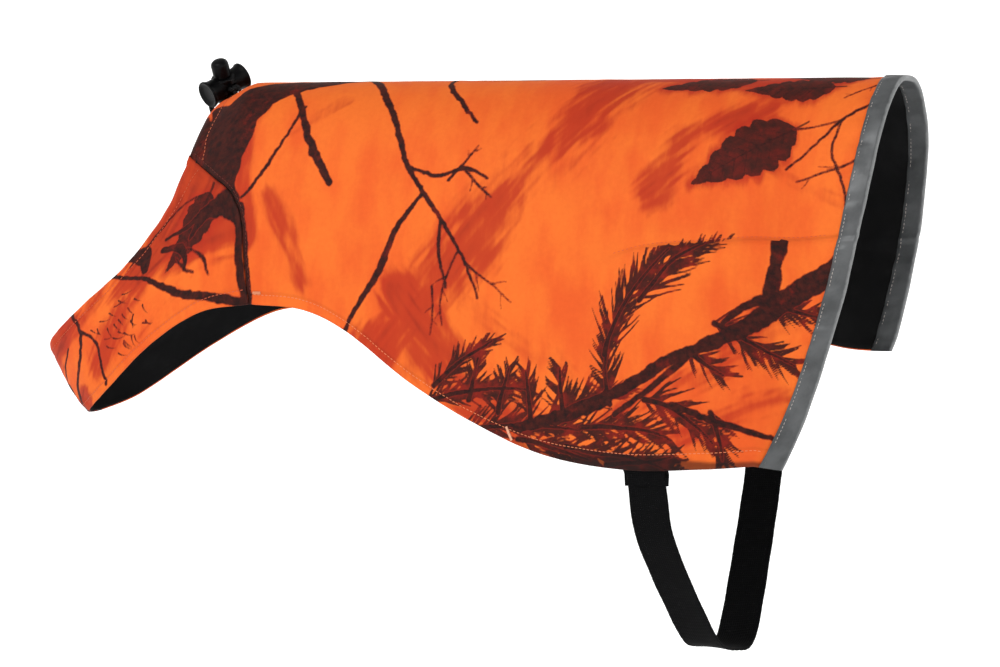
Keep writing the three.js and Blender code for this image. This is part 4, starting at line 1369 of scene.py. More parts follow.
@dataclass
class BackPanel:
    """The printed shell over the back and flanks, and its lining.

    Attributes:
        cloth: The form that it lies on.
        pitch: Spacing of the shell's vertices.
        turn: Radius of its turned hem.
        allowance: Width of the cloth turned under.
        dart_cut: Width of cloth that each dart takes in, by which the print is shifted under it.
    """

    cloth: ClothForm
    pitch: float = 1.26
    turn: float = 0.95
    allowance: float = 9.0
    dart_cut: float = 9.0

    def lines(self, pitch: float, under: float) -> tuple[Array, Array]:
        """Returns shares of the arc and the lengths turned under past them, from hem to hem."""
        near = -np.linspace(0, 1, int(NEAR_DEPTH / pitch) + 1)[::-1]
        far = np.linspace(0, 1, int(FAR_DEPTH / pitch) + 1)[1:]
        past = turned_under(self.turn, under) if under > 0 else np.zeros(0)
        shares = np.concatenate([np.full(len(past), -1.0), near, far, np.full(len(past), 1.0)])
        turned = np.concatenate([past[::-1], np.zeros(len(near) + len(far)), past])
        return shares, turned

    def grid(self, pitch: float, front: float, rear: float, under: float) -> tuple[Array, Array, Array]:
        """Returns X, arc and length turned under at the hem, as grids.

        Args:
            pitch: Spacing of the grid.
            front: How far behind the front boundary it starts.
            rear: How far ahead of the rear hem it ends.
            under: Length turned under at the lower hems; a lining has none.
        """
        shares, turned = self.lines(pitch, under)
        u = np.linspace(0, 1, int(BACK_LENGTH / pitch))[:, None]
        v = shares[None, :]
        trunk = self.cloth.trunk
        rear_arc = np.where(v < 0, REAR_ARC[Side.NEAR], REAR_ARC[Side.FAR]) * v
        if under <= 0:
            front = -2.5 + (front + 2.5) * np.clip(NECK_ARC + 2 - LEG_ARC * np.abs(v), 0, 2) / 2
        corner = bump(LEG_ARC * np.abs(v) - NECK_ARC - 3.5, 3.5)
        first = trunk.front_x(LEG_ARC * v) + front - 1.1 * corner
        last = trunk.rear_x(rear_arc) - rear
        x = first + (last - first) * u
        return x, trunk.hem_beside(x, v) * v, np.broadcast_to(turned, x.shape)

    def shell(self, printed: PrintRoll) -> Piece:
        """Makes the printed shell with its hems turned under."""
        x, s, turned = self.grid(self.pitch, self.turn - 0.35, 1.5, self.allowance)
        on, drop = fold_over(turned, self.turn)
        hem_s = s + np.sign(s) * (on - self.turn)
        flat_s = np.where(turned > 0, hem_s, s - np.sign(s) * self.turn * np.clip(np.abs(s) / 150, 0, 1))
        points = self.cloth.on(x, flat_s, SHELL_SKIN - drop)

        bend = math.pi * self.turn
        past = np.concatenate([np.linspace(0, bend, 6)[1:], [bend + 1.6]])[::-1]
        ahead, fall = fold_over(past, self.turn)
        skin = SHELL_SKIN - drop[0] - fall[:, None] * (turned[0] == 0)
        points = np.concatenate([self.cloth.on(x[0] - ahead[:, None], flat_s[0], skin), points])
        plane_x = np.concatenate([x[0][None] - past[:, None], x])
        arc = s + np.sign(s) * turned
        plane_s = np.concatenate([np.repeat(arc[:1], len(past), 0), arc])
        made = cloth_piece("back_panel_shell", points, (plane_x, plane_s), PrintedCloth().material())
        cut = self.dart_cut * self.cloth.dart_fade(plane_x) * (np.abs(plane_s) > self.cloth.darts(plane_x))
        give_values(made, printed.read(plane_x + cut, plane_s + np.sign(plane_s) * cut))
        give_values(made, {"shade": self.shade(plane_x, plane_s)})
        return made

    def shade(self, x: Array, s: Array) -> Array:
        """Returns how much painted shade the cloth gets: under the curled hem, and in the sunken seams, darts
        and hem stitch row.
        """
        trunk = self.cloth.trunk
        to_hem = trunk.hem_beside(x, s) - np.abs(s)
        # Painted shade on the underside of the near hem where it curls under.
        roll = 1.6 + 7.6 * bump(x - 84, 44)
        curled = np.clip(1 - (to_hem - roll) / 2.2, 0, 1) * np.clip((x + 30) / 50, 0, 1) * (s < 0)
        seam = 0.35 * bump(x - trunk.front_x(s), 2.2) * (np.abs(s) > NECK_ARC)
        dart = 0.3 * bump(np.abs(s) - self.cloth.darts(x), 1.2) * self.cloth.dart_fade(x)
        row = 0.16 * bump(to_hem - self.hem_row(x) - 0.8, 0.9)
        return np.clip(np.maximum.reduce([0.85 * curled, seam, dart, row]), 0, 1)

    def hem_row(self, x: Array) -> Array:
        """Returns how far inside the hem its stitches run: farther where the hem rolls under."""
        return HEM_ROW + 4.4 * np.clip((x + 50) / 90, 0, 1)

    def lining(self) -> Piece:
        """Makes the black lining."""
        x, s, _ = self.grid(4.5, TUNNEL_ROW, 2.0, 0)
        arc = s * (1 - 1.0 / np.maximum(np.abs(s), 150))
        points = self.cloth.on(x, arc, LINING_SKIN - 1.0)
        made = cloth_piece("back_panel_lining", points, (x, s), PlainCloth().material())
        return thicken(made)

    def build(self, printed: PrintRoll) -> list[Piece]:
        shell = seat(self.shell(printed), "vest", "shell", "back_panel")
        lining = seat(self.lining(), "vest", "lining", "back_lining")
        return [shell, lining]

    def hem_stitches(self, side: Side) -> Piece:
        """Sews the lower hem of one side."""
        def route(share: Array, lift: float) -> Array:
            """Runs just inside the hem."""
            x = LEG_X + 4 + (CORNER_X + 2 - LEG_X) * share
            arc = side.value * (self.cloth.trunk.hem_arc(x, side) - self.hem_row(x))
            return self.cloth.on(x, arc, THREAD_SKIN + lift)
        return stitch_line(f"hem_stitches_{side.name.lower()}", route, Thread().material())

    def dart_stitches(self, side: Side) -> Piece:
        """Sews the edge of one flank's dart."""
        def route(share: Array, lift: float) -> Array:
            """Runs along the dart's upper lip."""
            x = 62 + 160 * share
            return self.cloth.on(x, side.value * (self.cloth.darts(x) - 2.6), SHELL_SKIN + lift)
        thread = Thread(ink(206, 78, 36)).material()
        return stitch_line(f"dart_stitches_{side.name.lower()}", route, thread, 3.4, (1.8, 0.22, 0.16))

    def neck_stitches(self) -> Piece:
        """Sews the drawcord's tunnel along the nape."""
        def route(share: Array, lift: float) -> Array:
            """Runs inside the neck edge from shoulder to shoulder."""
            arc = (2 * share - 1) * (NECK_ARC + 16)
            x = self.cloth.trunk.neck_x(np.abs(arc)) + TUNNEL_ROW
            return self.cloth.on(x, arc, THREAD_SKIN + lift)
        return stitch_line("nape_stitches", route, Thread(ink(226, 116, 74)).material())


@dataclass
class ChestPanel:
    """The printed shell under the neck and its lining.

    Attributes:
        form: The chest's surface.
        pitch: Spacing of the shell's vertices.
        turn: Radius of its turned edges.
        allowance: Width of the cloth turned under.
    """

    form: ChestForm
    pitch: float = 1.2
    turn: float = 0.95
    allowance: float = 8.0

    def shell(self, printed: PrintRoll) -> Piece:
        """Makes the printed shell with its edges turned under."""
        form = self.form
        t = np.linspace(0.0012, 1 - 0.0012, int(form.breadth / self.pitch))
        sunk = np.concatenate([[2.4, 1.4, 0.6], 0 * t, [0.6, 1.4, 2.4]])[:, None]
        t = np.concatenate([[t[0]] * 3, t, [t[-1]] * 3])[:, None]
        inset = self.turn / form.height
        flat = np.linspace(inset, 1 - inset, int(form.height / self.pitch))
        past = turned_under(self.turn, self.allowance)
        w = np.concatenate([np.full(len(past), inset), flat, np.full(len(past), 1 - inset)])[None]
        turned = np.concatenate([past[::-1], flat * 0, past])[None]
        end = np.concatenate([-np.ones(len(past)), flat * 0, np.ones(len(past))])[None]
        on, drop = fold_over(turned, self.turn)
        place = w + end * on / form.height
        place = place - 0.014 * bump(np.minimum(t, 1 - t) * form.breadth, 5) * (w < 0.5)
        t, place, drop = np.broadcast_arrays(t, place, drop)
        points = form.on(t, place, SHELL_SKIN - drop - sunk * (drop < 0.5))
        plane = (t * form.breadth, (w + end * turned / form.height) * form.height + 0 * t)
        made = cloth_piece("chest_panel_shell", points, plane, PrintedCloth().material())
        give_values(made, printed.read(*plane))
        to_seam = np.minimum(plane[0], form.breadth - plane[0])
        to_row = form.height - 8.4 - plane[1]
        # Painted shade in the sunken shoulder seams and along the leg edge's stitch row.
        give_values(made, {"shade": 0.35 * bump(to_seam, 2.2) + 0.14 * bump(to_row, 0.9)})
        return made

    def lining(self) -> Piece:
        """Makes the black lining."""
        form = self.form
        t = np.linspace(0.0005, 0.9995, 110)[:, None]
        w = np.linspace(0.15, 0.989, 22)[None]
        t, w = np.broadcast_arrays(t, w)
        points = form.on(t, w, LINING_SKIN - 0.9)
        plane = (t * form.breadth, w * form.height)
        made = cloth_piece("chest_panel_lining", points, plane, PlainCloth().material())
        return thicken(made)

    def row(self, name: str, place: float, colour: tuple) -> Piece:
        """Sews a row of stitches along the panel at a share of its height."""
        def route(share: Array, lift: float) -> Array:
            """Runs from seam to seam."""
            t = 0.006 + 0.988 * share
            return self.form.on(t, np.full_like(t, place), THREAD_SKIN + lift)
        return stitch_line(name, route, Thread(colour).material())

    def build(self, printed: PrintRoll) -> list[Piece]:
        shell = seat(self.shell(printed), "vest", "chest", "chest_panel")
        lining = seat(self.lining(), "vest", "lining", "chest_lining")
        return [shell, lining]


@dataclass
class NeckTunnel:
    """The black facings that hold the drawcord along the neck edge.

    Attributes:
        cloth: The back's form.
        chest: The chest's form.
        width: Width of the nape's facing.
        share: Width of the chest's facing, as a share of the chest's height.
    """

    cloth: ClothForm
    chest: ChestForm
    width: float = 11.0
    share: float = 0.14

    def dip(self, share: Array) -> Array:
        """Returns the facing's height over its width."""
        return 0.6 - 3.6 * np.sin(math.pi * np.clip(share, 0, 1)) ** 0.7

    def build(self) -> None:
        """Makes both facings."""
        share = np.linspace(0, 1, 13)[:, None]
        arc = np.linspace(-NECK_ARC - 2, NECK_ARC + 2, 75)[None]
        x = self.cloth.trunk.front_x(arc) + 1.3 + (self.width - 1.3) * share
        s = np.broadcast_to(arc, x.shape)
        nape = self.cloth.on(x, s, self.dip(share) + 0 * x, True)
        black = PlainCloth(threads=520.0).material()
        made = cloth_piece("nape_tunnel_facing", nape, (x, s), black)
        seat(made, "vest", "facing", "nape_channel_facing")

        t = np.linspace(0, 1, 190)[None]
        w = 0.02 + self.share * share
        t, w = np.broadcast_arrays(t, w)
        front = self.chest.on(t, w, self.dip(share) + 0 * t, True)
        plane = (t * self.chest.breadth, w * self.chest.height)
        made = cloth_piece("chest_tunnel_facing", front, plane, black)
        seat(made, "vest", "facing", "chest_channel_facing")


@dataclass
class RearTape:
    """The reflective tape folded over the rear hem.

    Attributes:
        cloth: The form that it lies on.
        thick: Its thickness.
        fold: Half the height of its fold.
        middle: Height of the fold's middle over the body.
        row: How far inside its sewn edge its stitches run.
    """

    cloth: ClothForm
    thick: float = 0.55
    fold: float = 2.1
    middle: float = 1.3
    row: float = 2.2

    def section(self) -> tuple[Array, Array, Array]:
        """Returns the tape's closed section: distance in from the hem, height, and how much painted highlight
        it gets at the fold.
        """
        middle, half = self.middle, self.fold
        turn = np.linspace(-math.pi / 2, math.pi / 2, 13)
        outer = [(half * (1 - math.cos(a)), middle + half * math.sin(a)) for a in turn]
        inner_half = half - self.thick
        inner = [(half - inner_half * math.cos(a), middle + inner_half * math.sin(a)) for a in turn[::-1]]
        flat = np.linspace(half, TAPE_WIDTH, 12)[1:]
        run = [(TAPE_WIDTH - d + half, middle - half) for d in flat[:-1]]
        run = [(TAPE_WIDTH, middle - half)] + run[1:] + outer
        run += [(d, middle + half) for d in flat] + [(TAPE_WIDTH, middle + half - self.thick)]
        run += [(d, middle + inner_half) for d in flat[::-1][1:]] + inner
        run += [(d, middle - inner_half) for d in flat[:-1]] + [(TAPE_WIDTH, middle - inner_half)]
        place = np.array(run)
        # Painted highlight, strongest at the fold and gone 3.2 mm in from it.
        rub = np.clip(1 - place[:, 0] / 3.2, 0, 1)
        return place[:, 0], place[:, 1], rub

    def build(self) -> None:
        """Makes the tape, its stitches and the crumpled corners."""
        across, up, rub = self.section()
        near, far = REAR_ARC[Side.NEAR], REAR_ARC[Side.FAR]
        arc = np.concatenate([np.linspace(-near, 0, 190), np.linspace(0, far, 138)[1:]])
        s, d, h = np.broadcast_arrays(arc[:, None], across[None], up[None])
        x = self.cloth.trunk.ahead_of_rear(s, d)
        crumple = front_fade(np.maximum(np.minimum(s + near, far - s), 0), 26) * np.where(s < 0, 1.0, 0.3)
        ruck = 0.32 * np.sin(s / 2.4 + 2.5 * soft_noise(s, d * 0, 19, 41)) * bump(d - TAPE_WIDTH + 3, 6)
        ruck += 0.3 * soft_noise(s, d, 14, 42) + crumple * soft_noise(s, d * 1.4, 8, 43)
        outer = h > self.middle
        edge_wave = 0.35 * soft_noise(s, h, 16, 44) * bump(d, 4)
        points = self.cloth.on(x + edge_wave, s, h + ruck + np.where(outer, 0.25, -0.25))
        faces = self.faces(len(arc), len(across))
        made = mesh_object("rear_tape", points.reshape(-1, 3), faces, ReflectiveTape().material())
        give_plane(made, s, d + 2 * TAPE_WIDTH * outer)
        give_values(made, {"rub": np.broadcast_to(rub, s.shape)})
        seat(made, "vest", "tape", "rear_reflective_binding")
        rows = [self.edge_stitches("outer", 3.55, 1), self.edge_stitches("inner", -0.95, -1)]
        seat(gather("tape_stitches", rows), "vest", "thread")

    def edge_stitches(self, face: str, height: float, up: int) -> Piece:
        """Sews the tape's edge on its outer or inner face.

        Args:
            face: Which face it is on.
            height: Height of the face over the body.
            up: The side to which its stitches stand: 1 outward, -1 inward.
        """
        def route(share: Array, lift: float) -> Array:
            """Runs along the tape's sewn edge."""
            near, far = REAR_ARC[Side.NEAR], REAR_ARC[Side.FAR]
            arc = 3 - near + (near + far - 6) * share
            x = self.cloth.trunk.ahead_of_rear(arc, TAPE_WIDTH - self.row)
            return self.cloth.on(x, arc, height + up * lift)
        thread = Thread(ink(186, 176, 170)).material()
        return stitch_line(f"tape_stitches_{face}", route, thread, 3.0, (1.9, 0.3, 0.22))

    @staticmethod
    def faces(rows: int, columns: int) -> Array:
        """Returns the tape's quads with both ends closed."""
        sides = grid_faces(rows, columns, True)
        half = columns // 2
        low = np.array([(i, i + 1, columns - 2 - i, columns - 1 - i) for i in range(half - 1)])
        return np.concatenate([sides, low[:, ::-1], low + (rows - 1) * columns])


@dataclass
class BellyStrap:
    """The elastic strap and its two tabs.

    Attributes:
        cloth: The form that it is sewn to.
        width: The elastic's width.
        thick: Its thickness.
        near_x: X of its near end.
        far_x: X of its far end.
        inside: How far its ends and tabs reach inside the hem.
        outside: How far the tabs reach past the hem.
        tab_half: Half a tab's width.
    """

    cloth: ClothForm
    width: float = 30.0
    thick: float = 1.3
    near_x: float = 88.0
    far_x: float = 118.0
    inside: float = 12.0
    outside: float = 11.0
    tab_half: float = 17.5

    @staticmethod
    def webbing(name: str, upper: Array, lower: Array) -> Piece:
        """Makes a closed strip of elastic from its two faces."""
        ring = np.concatenate([upper, lower[:, ::-1]], axis=1)
        faces = RearTape.faces(*ring.shape[:2])
        return mesh_object(name, ring.reshape(-1, 3), faces, Elastic().material())

    def route(self) -> Knots:
        """Returns the strap's centreline."""
        def sewn(x: float, side: Side, below: float) -> tuple:
            """Returns a point of a sewn end inside the hem."""
            arc = side.value * (self.cloth.trunk.hem_arc(x, side) + below)
            return tuple(self.cloth.on(x, arc, -2.7))
        return chord_knots([
            sewn(self.near_x, Side.NEAR, -self.inside), sewn(self.near_x, Side.NEAR, self.outside),
            (92, -90, -334), (98, -74, -364), (104, -53, -392), (108, -36, -411), (111, -24, -419.5),
            (114, -4, -421.5), (116, 15, -420.5), (117, 27, -413), (117.5, 40, -392),
            (117.5, 58, -358), (118, 78, -314), (118, 91, -280), (118, 95, -245),
            sewn(self.far_x, Side.FAR, self.outside), sewn(self.far_x, Side.FAR, -self.inside),
        ])

    def build(self) -> None:
        """Makes the strap and its tabs."""
        self.tab(Side.NEAR, self.near_x)
        self.tab(Side.FAR, self.far_x)
        curve = self.route()
        share, fine = np.linspace(0, 1, 260), np.linspace(0, 1, 1500)
        run = run_along(curve(fine))
        route = curve(np.interp(share * run[-1], run, fine))
        along = unit(np.gradient(route, axis=0))
        wide = unit(np.array([1.0, 0, 0]) - along * along[:, :1])
        face = np.cross(along, wide)
        wide = wide + face * 0.10 * np.sin(share * 5.0)[:, None]
        across = np.linspace(-1, 1, 19)
        curl = 0.9 * np.sin(share * math.pi)[:, None] * (across ** 2)[None]
        half = self.width / 2 * (1 + 0.008 * np.sin(share * 90))
        top = route[:, None] + wide[:, None] * (across[None, :, None] * half[:, None, None])
        lift = curl + 0.12 * np.sin(share * 420)[:, None] * (np.abs(across) ** 4)[None]
        upper = top + face[:, None] * (lift + self.thick / 2)[..., None]
        lower = top + face[:, None] * (lift - self.thick / 2)[..., None]
        made = self.webbing("elastic_strap", upper, lower)
        spread = np.concatenate([across, across[::-1] + 3]) * self.width / 2
        give_plane(made, *np.broadcast_arrays((share * run[-1])[:, None], spread[None]))
        seat(made, "vest", "elastic", "belly_strap")
        LOG.info("strap is %.0f mm long", run[-1])

    def tab(self, side: Side, x: float) -> Piece:
        """Makes one tab of doubled webbing under the hem."""
        hem = float(self.cloth.trunk.hem_arc(x, side))
        u = np.linspace(x - self.tab_half, x + self.tab_half, 30)[:, None]
        v = np.linspace(hem - self.inside, hem + self.outside, 20)[None]
        u, v = np.broadcast_arrays(u, v)
        wave = 0.35 * soft_noise(u, v, 9, 51)
        upper = self.cloth.on(u, side.value * v, -0.8 + wave * 0.3)
        lower = self.cloth.on(u, side.value * v, -2.0 + wave * 0.3)
        made = self.webbing(f"{side.name.lower()}_tab", upper, lower)
        give_plane(made, np.concatenate([v, v[:, ::-1]], 1), np.concatenate([u, u[:, ::-1]], 1))
        return seat(made, "vest", "elastic", f"{side.name.lower()}_strap_tab")


@dataclass
class Sewing:
    """The visible thread: topstitching, bar-tacks and seams.

    Attributes:
        cloth: The back's form.
        chest: The chest's form.
    """

    cloth: ClothForm
    chest: ChestForm

    def bartack(
        self, side: Side, x: float, arc: float, turn: float, half: float, node: str, colour: tuple,
    ) -> None:
        """Sews one bar-tack across the cloth.

        Args:
            side: Which flank it is on.
            x: X of its middle.
            arc: Arc of its middle.
            turn: Its direction from X, in degrees.
            half: Half its length.
            node: The CAD node that it stands for.
            colour: Its thread's colour.
        """
        count = 26
        place = np.linspace(-half, half, count)
        way = np.array([math.cos(math.radians(turn)), math.sin(math.radians(turn))])
        zig = np.where(np.arange(count) % 2, 0.75, -0.75)
        xs = x + place * way[0] - zig * way[1] * 0.2
        arcs = arc + place * way[1] + zig * way[0] * 0.2
        s = side.value * arcs
        centre = self.cloth.on(xs, s, SHELL_SKIN + 0.2)
        out = self.cloth.on(xs, s, SHELL_SKIN + 1) - centre
        step_x, step_s = -way[1], side.value * way[0]
        along = self.cloth.on(xs + step_x, s + step_s, SHELL_SKIN + 0.2) - centre
        along[:, 0] += 0.35 * zig
        name = f"{side.name.lower()}_{node}"
        made = stitches(name, centre, along, out, Thread(colour).material(), (2.1, 0.3, 0.34))
        seat(made, "vest", "thread", name)

    def shoulder_seam(self, side: Side) -> Piece:
        """Sews the row beside one shoulder seam."""
        def route(share: Array, lift: float) -> Array:
            """Runs behind the seam from the neck to the leg corner."""
            arc = NECK_ARC + 2 + (LEG_ARC - NECK_ARC - 6) * share
            x = self.cloth.trunk.seam_x(arc) + 3.4
            return self.cloth.on(x, side.value * arc, THREAD_SKIN + lift)
        thread = Thread(ink(116, 38, 24)).material()
        return stitch_line(f"shoulder_stitches_{side.name.lower()}", route, thread, 3.2, (1.9, 0.26, 0.2))

    def build(self, back: BackPanel, front: ChestPanel) -> None:
        """Sews everything."""
        rows = [
            back.neck_stitches(), front.row("chest_neck_stitches", 0.12, ink(214, 92, 52)),
            front.row("chest_leg_stitches", 1 - HEM_ROW / self.chest.height, ink(226, 100, 58)),
        ]
        for side in Side:
            rows += [back.hem_stitches(side), back.dart_stitches(side), self.shoulder_seam(side)]
            hem = float(self.cloth.trunk.hem_arc(-17, side))
            self.bartack(side, -17, hem - 6, 66, 5.4, "hem_bartack", ink(255, 186, 150))
            self.bartack(side, LEG_X + 7, LEG_ARC - 8, 4, 3.2, "shoulder_bartack", ink(238, 150, 108))
        seat(gather("topstitching", rows), "vest", "thread")


@dataclass
class CordLock:
    """The cord lock, its plunger and spring, and the drawcord that runs through it.

    Attributes:
        cloth: The back's form.
        chest: The chest's form.
        place: Where the cord crosses the lock.
        wings: Direction of its finger wings.
        press: Direction in which the plunger stands out.
        apart: How far each strand runs from the lock's middle.
        cord_radius: The drawcord's radius.
        edge: Width of the moulded pieces' bevels.
    """

    cloth: ClothForm
    chest: ChestForm
    place: tuple = (-288.0, 11.0, 0.6)
    wings: tuple = (0.5617, 0.6989, 0.4427)
    press: tuple = (-0.0425, -0.51, 0.859)
    apart: float = 1.6
    cord_radius: float = 1.5
    edge: float = 0.28

    def __post_init__(self) -> None:
        """Sets the lock's own axes."""
        x = Vector(self.wings).normalized()
        z = Vector(self.press)
        z = (z - x * z.dot(x)).normalized()
        y = z.cross(x)
        self.axes = (x, y, z)
        turn = Matrix((x, y, z)).transposed().to_4x4()
        self.matrix = Matrix.Translation(Vector(self.place) * MM) @ turn

    def at(self, x: float, y: float, z: float) -> Array:
        """Returns a point of the lock's own frame, in millimetres."""
        point = Vector(self.place) + self.axes[0] * x + self.axes[1] * y + self.axes[2] * z
        return np.array(point)

    def settle(self, made: Piece, name: str, angle: float = 35.0) -> Piece:
        """Bevels a hard piece, shades it and moves it into the lock's place."""
        bevel = made.modifiers.new("bevel", "BEVEL")
        bevel.width, bevel.segments, bevel.limit_method = self.edge * MM, 3, "ANGLE"
        bevel.angle_limit = math.radians(40)
        apply_modifiers(made)
        made.data.transform(self.matrix)
        made.name = made.data.name = name
        made.data.polygons.foreach_set("use_smooth", np.ones(len(made.data.polygons), bool))
        made.data.set_sharp_from_angle(angle=math.radians(angle))
        return made

    def box(self, size: Triple, centre: Triple) -> Piece:
        """Makes a plain box as a cutting tool."""
        corners = np.array([(x, y, z) for x in (-0.5, 0.5) for y in (-0.5, 0.5) for z in (-0.5, 0.5)])
        points = corners * np.array(size) + np.array(centre)
        faces = np.array([(0, 1, 3, 2), (4, 6, 7, 5), (0, 4, 5, 1), (2, 3, 7, 6), (0, 2, 6, 4), (1, 5, 7, 3)])
        return mesh_object("cutter", points, faces, Plastic().material())

    def barrel(self) -> Piece:
        """Makes the moulded barrel with its spool-shaped wings."""
        body = lathe("barrel", [
            (0, -15), (5.4, -15), (7.2, -14.2), (7.8, -12.6), (8, -11), (8.1, -6.2), (8.2, -5.6),
            (8.5, -5.0), (9, -4.4), (9, 4.4), (9.3, 5.2), (9.3, 7.0), (8.8, 7.9), (8, 8.2), (0, 8.2),
        ], 72)
        half = [
            (0, 15.4), (6.0, 15.4), (7.8, 16.0), (9.4, 17.4), (10.2, 17.5), (10.6, 16.9),
            (10.6, 16.0), (10.2, 15.2), (9.6, 13.9), (9.3, 12.2), (9.1, 10.4),
        ]
        profile = [(r, -x) for r, x in half] + half[::-1]
        wings = lathe("wings", profile, 72)
        wings.data.transform(Matrix.Rotation(math.radians(90), 4, "Y"))
        bore = lathe("bore", [(0, -14), (7.1, -14), (7.1, 20), (0, 20)], 64)
        combine(body, wings, "UNION")
        combine(body, bore, "DIFFERENCE")
        combine(body, self.box((8.8, 30, 7.6), (0, 0, -1.2)), "DIFFERENCE")
        return self.settle(body, "cord_lock_body")

    def plunger(self) -> Piece:
        """Makes the domed plunger with its cord window."""
        body = lathe("plunger", [
            (0, -4.8), (6.3, -4.8), (6.8, -4.3), (6.8, 17.6), (6.6, 18.9), (6.0, 20.2), (4.9, 21.2),
            (3.3, 21.8), (1.6, 22.05), (0, 22.1),
        ], 64)
        combine(body, self.box((7.6, 30, 8.6), (0, 0, 2.5)), "DIFFERENCE")
        return self.settle(body, "cord_lock_button")

    def spring(self) -> Piece:
        """Makes the coil spring under the plunger."""
        share = np.linspace(0, 1, 200)
        turn = 2 * math.pi * 4.5 * share
        height = -13.3 + 7.8 * share
        route = np.array([self.at(4.6 * math.cos(a), 4.6 * math.sin(a), z) for a, z in zip(turn, height)])
        return tube_piece("cord_lock_coil", route, 0.4, Steel().material(), 8)

    def strand(self, side: int) -> list[Array]:
        """Returns one strand's knots from the knot through the lock to the tunnel."""
        half = side * self.apart
        rows = [self.at(half, y, 0) for y in (-11.6, -4, 4, 13)]
        rows += [self.at(half, y, z) for y, z in ((15.4, -0.8), (17, -3), (17, -6.5))]
        falls = ((-299.5, 12, -14), (-295, 7.5, -22.5), (-287.5, 2.5, -26), (-279.5, 0.2, -24.4))
        rows += [np.array([x, y + half, z]) for x, y, z in falls]
        for offset, aside in ((-7.2, half), (-3.8, half), (-1.8, half), (-0.7, half + side * 2.6)):
            rows.append(self.nape(0.0, offset) + np.array([0, aside, 0]))
        return rows

    def nape(self, arc: float, offset: float = -0.6) -> Array:
        """Returns a point of the cord in its tunnel along the nape."""
        return self.cloth.on(self.cloth.trunk.front_x(arc) + CORD_LINE, arc, offset, True)

    def cord(self) -> Piece:
        """Makes the whole drawcord, round the neck in its tunnel."""
        arcs = (14, 24, 34, 44, 51)
        across = np.linspace(0.012, 0.988, 60)
        chest = [self.chest.on(np.array(t), np.array(0.08), -0.6, True) for t in across]
        near = self.strand(-1) + [self.nape(-arc) for arc in arcs]
        far = self.strand(1) + [self.nape(arc) for arc in arcs]
        curve = chord_knots(near + chest + far[::-1])
        line = curve(np.linspace(0, 1, 1300))
        return tube_piece("drawcord", line, self.cord_radius, Braid().material(), 14)

    def knot(self) -> Piece:
        """Makes the overhand knot that joins the two ends, with its short tails."""
        turn = np.linspace(0, 2 * math.pi, 150)
        xs = 1.15 * (np.sin(turn) + 1.6 * np.sin(2 * turn))
        zs = 1.15 * (np.cos(turn) - 1.6 * np.cos(2 * turn))
        ys = -13.7 - 1.25 * np.sin(3 * turn)
        route = np.array([self.at(x, y, z) for x, y, z in zip(xs, ys, zs)])
        loop = tube_piece("knot", route, 1.25, Braid().material(), 12)
        tails = []
        for side in (-1, 1):
            bend = ((1.4, -14.0, 0), (1.9, -15.6, -0.6), (2.1, -16.8, -1.4))
            line = chord_knots([self.at(side * x, y, z) for x, y, z in bend])(np.linspace(0, 1, 14))
            tails.append(tube_piece("tail", line, 1.3, Braid().material(), 12))
        return gather("cord_knot", [loop, *tails])

    def build(self) -> None:
        """Makes and seats the lock and the cord."""
        seat(self.barrel(), "cord_lock", "plastic", "cord_lock_barrel")
        seat(self.plunger(), "lock_plunger", "plastic", "cord_lock_plunger")
        coil = seat(self.spring(), "cord_lock", "steel", "cord_lock_spring")
        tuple(self.axes[2])
        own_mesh(coil)
        seat(self.cord(), "vest", "cord", "neck_drawcord")
        seat(self.knot(), "vest", "cord", "drawcord_knot")
        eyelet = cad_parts["cord_exit_eyelet"]
        eyelet.data.materials.clear()
        eyelet.data.materials.append(Plastic().material())


# -------- studio


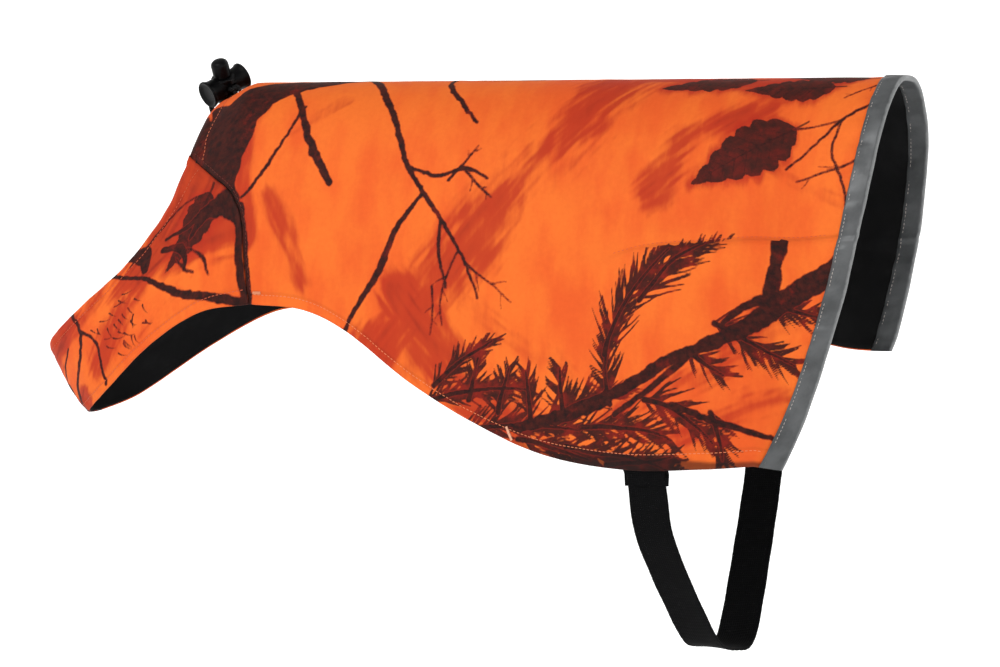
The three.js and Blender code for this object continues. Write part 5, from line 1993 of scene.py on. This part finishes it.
@dataclass
class Studio:
    """Camera, lights and floor.

    Attributes:
        azimuth: Where the camera stands round the vest, in degrees.
        distance: How far off it stands, in metres.
        aim: What it looks at: how far right along its own view, and how high, in metres.
        span: Breadth of its view at the vest, in metres.
        sensor: Width of its sensor, in millimetres.
        middle: What the lamps face, in metres.
        drop: How far the floor lies below the spine, in metres.
    """

    azimuth: float = 20.0
    distance: float = 8.0
    aim: Place = (-0.05775, -0.188)
    span: float = 0.75
    sensor: float = 36.0
    middle: tuple = (-0.05, 0, -0.18)
    drop: float = 0.47

    @staticmethod
    def set_up(name: str, data: bpy.types.ID, place: Vector, toward: Vector) -> Piece:
        """Puts a camera or lamp at a place, turned to look along a direction."""
        made = bpy.data.objects.new(name, data)
        bpy.context.scene.collection.objects.link(made)
        made.location = place
        made.rotation_euler = toward.to_track_quat("-Z", "Y").to_euler()
        return made

    def camera(self) -> None:
        """Places the camera."""
        a = math.radians(self.azimuth)
        right, back = Vector((math.cos(a), math.sin(a), 0)), Vector((math.sin(a), -math.cos(a), 0))
        data = bpy.data.cameras.new("camera")
        data.sensor_width = self.sensor
        data.lens = self.sensor * self.distance / self.span
        data.clip_end = 100
        place = right * self.aim[0] + Vector((0, 0, self.aim[1])) + back * self.distance
        bpy.context.scene.camera = self.set_up("camera", data, place, -back)

    def lamp(self, name: str, place: Triple, size: float, power: float) -> None:
        """Hangs a soft lamp that faces the vest."""
        data = bpy.data.lights.new(name, "AREA")
        data.size, data.energy = size, power
        self.set_up(name, data, Vector(place), Vector(self.middle) - Vector(place))

    def build(self) -> None:
        """Sets the whole studio."""
        self.camera()
        self.lamp("key", (-1.3, -3.0, 2.3), 1.3, 92)
        self.lamp("fill", (2.6, -3.4, 0.6), 2.2, 24)
        self.lamp("rim", (1.2, 2.2, 2.4), 1.4, 22)
        world = bpy.data.worlds.new("studio")
        world.use_nodes = True
        background = world.node_tree.nodes["Background"]
        background.inputs["Color"].default_value = (1, 1, 1, 1)
        background.inputs["Strength"].default_value = 0.5
        bpy.context.scene.world = world
        bpy.context.scene.view_settings.view_transform = "Standard"
        self.dome()

    def dome(self) -> None:
        """Sets the pale floor, which rises into a round backdrop far behind the vest."""
        rise = ((0, 0), (3, 0), (8, 0), (18, 0), (20.5, 0.5), (21.6, 1.6), (22, 3.5), (22, 13))
        sides = 96
        points = revolve([(out, up - self.drop) for out, up in rise], sides) / MM
        faces = grid_faces(len(rise), sides, True)
        floor = mesh_object("studio_floor", points.reshape(-1, 3), faces, PaleFloor().material())
        weld(floor)


def main() -> None:
    """Builds the studio and the vest."""
    logging.basicConfig(level=logging.INFO, format="%(message)s")
    Studio().build()
    cloth = ClothForm()
    chest = ChestForm(cloth)
    CordLock(cloth, chest).build()
    back = BackPanel(cloth)
    front = ChestPanel(chest)
    back.build(back_print())
    front.build(chest_print(chest.breadth, chest.height))
    NeckTunnel(cloth, chest).build()
    RearTape(cloth).build()
    BellyStrap(cloth).build()
    Sewing(cloth, chest).build(back, front)


if __name__ == "__main__":
    main()
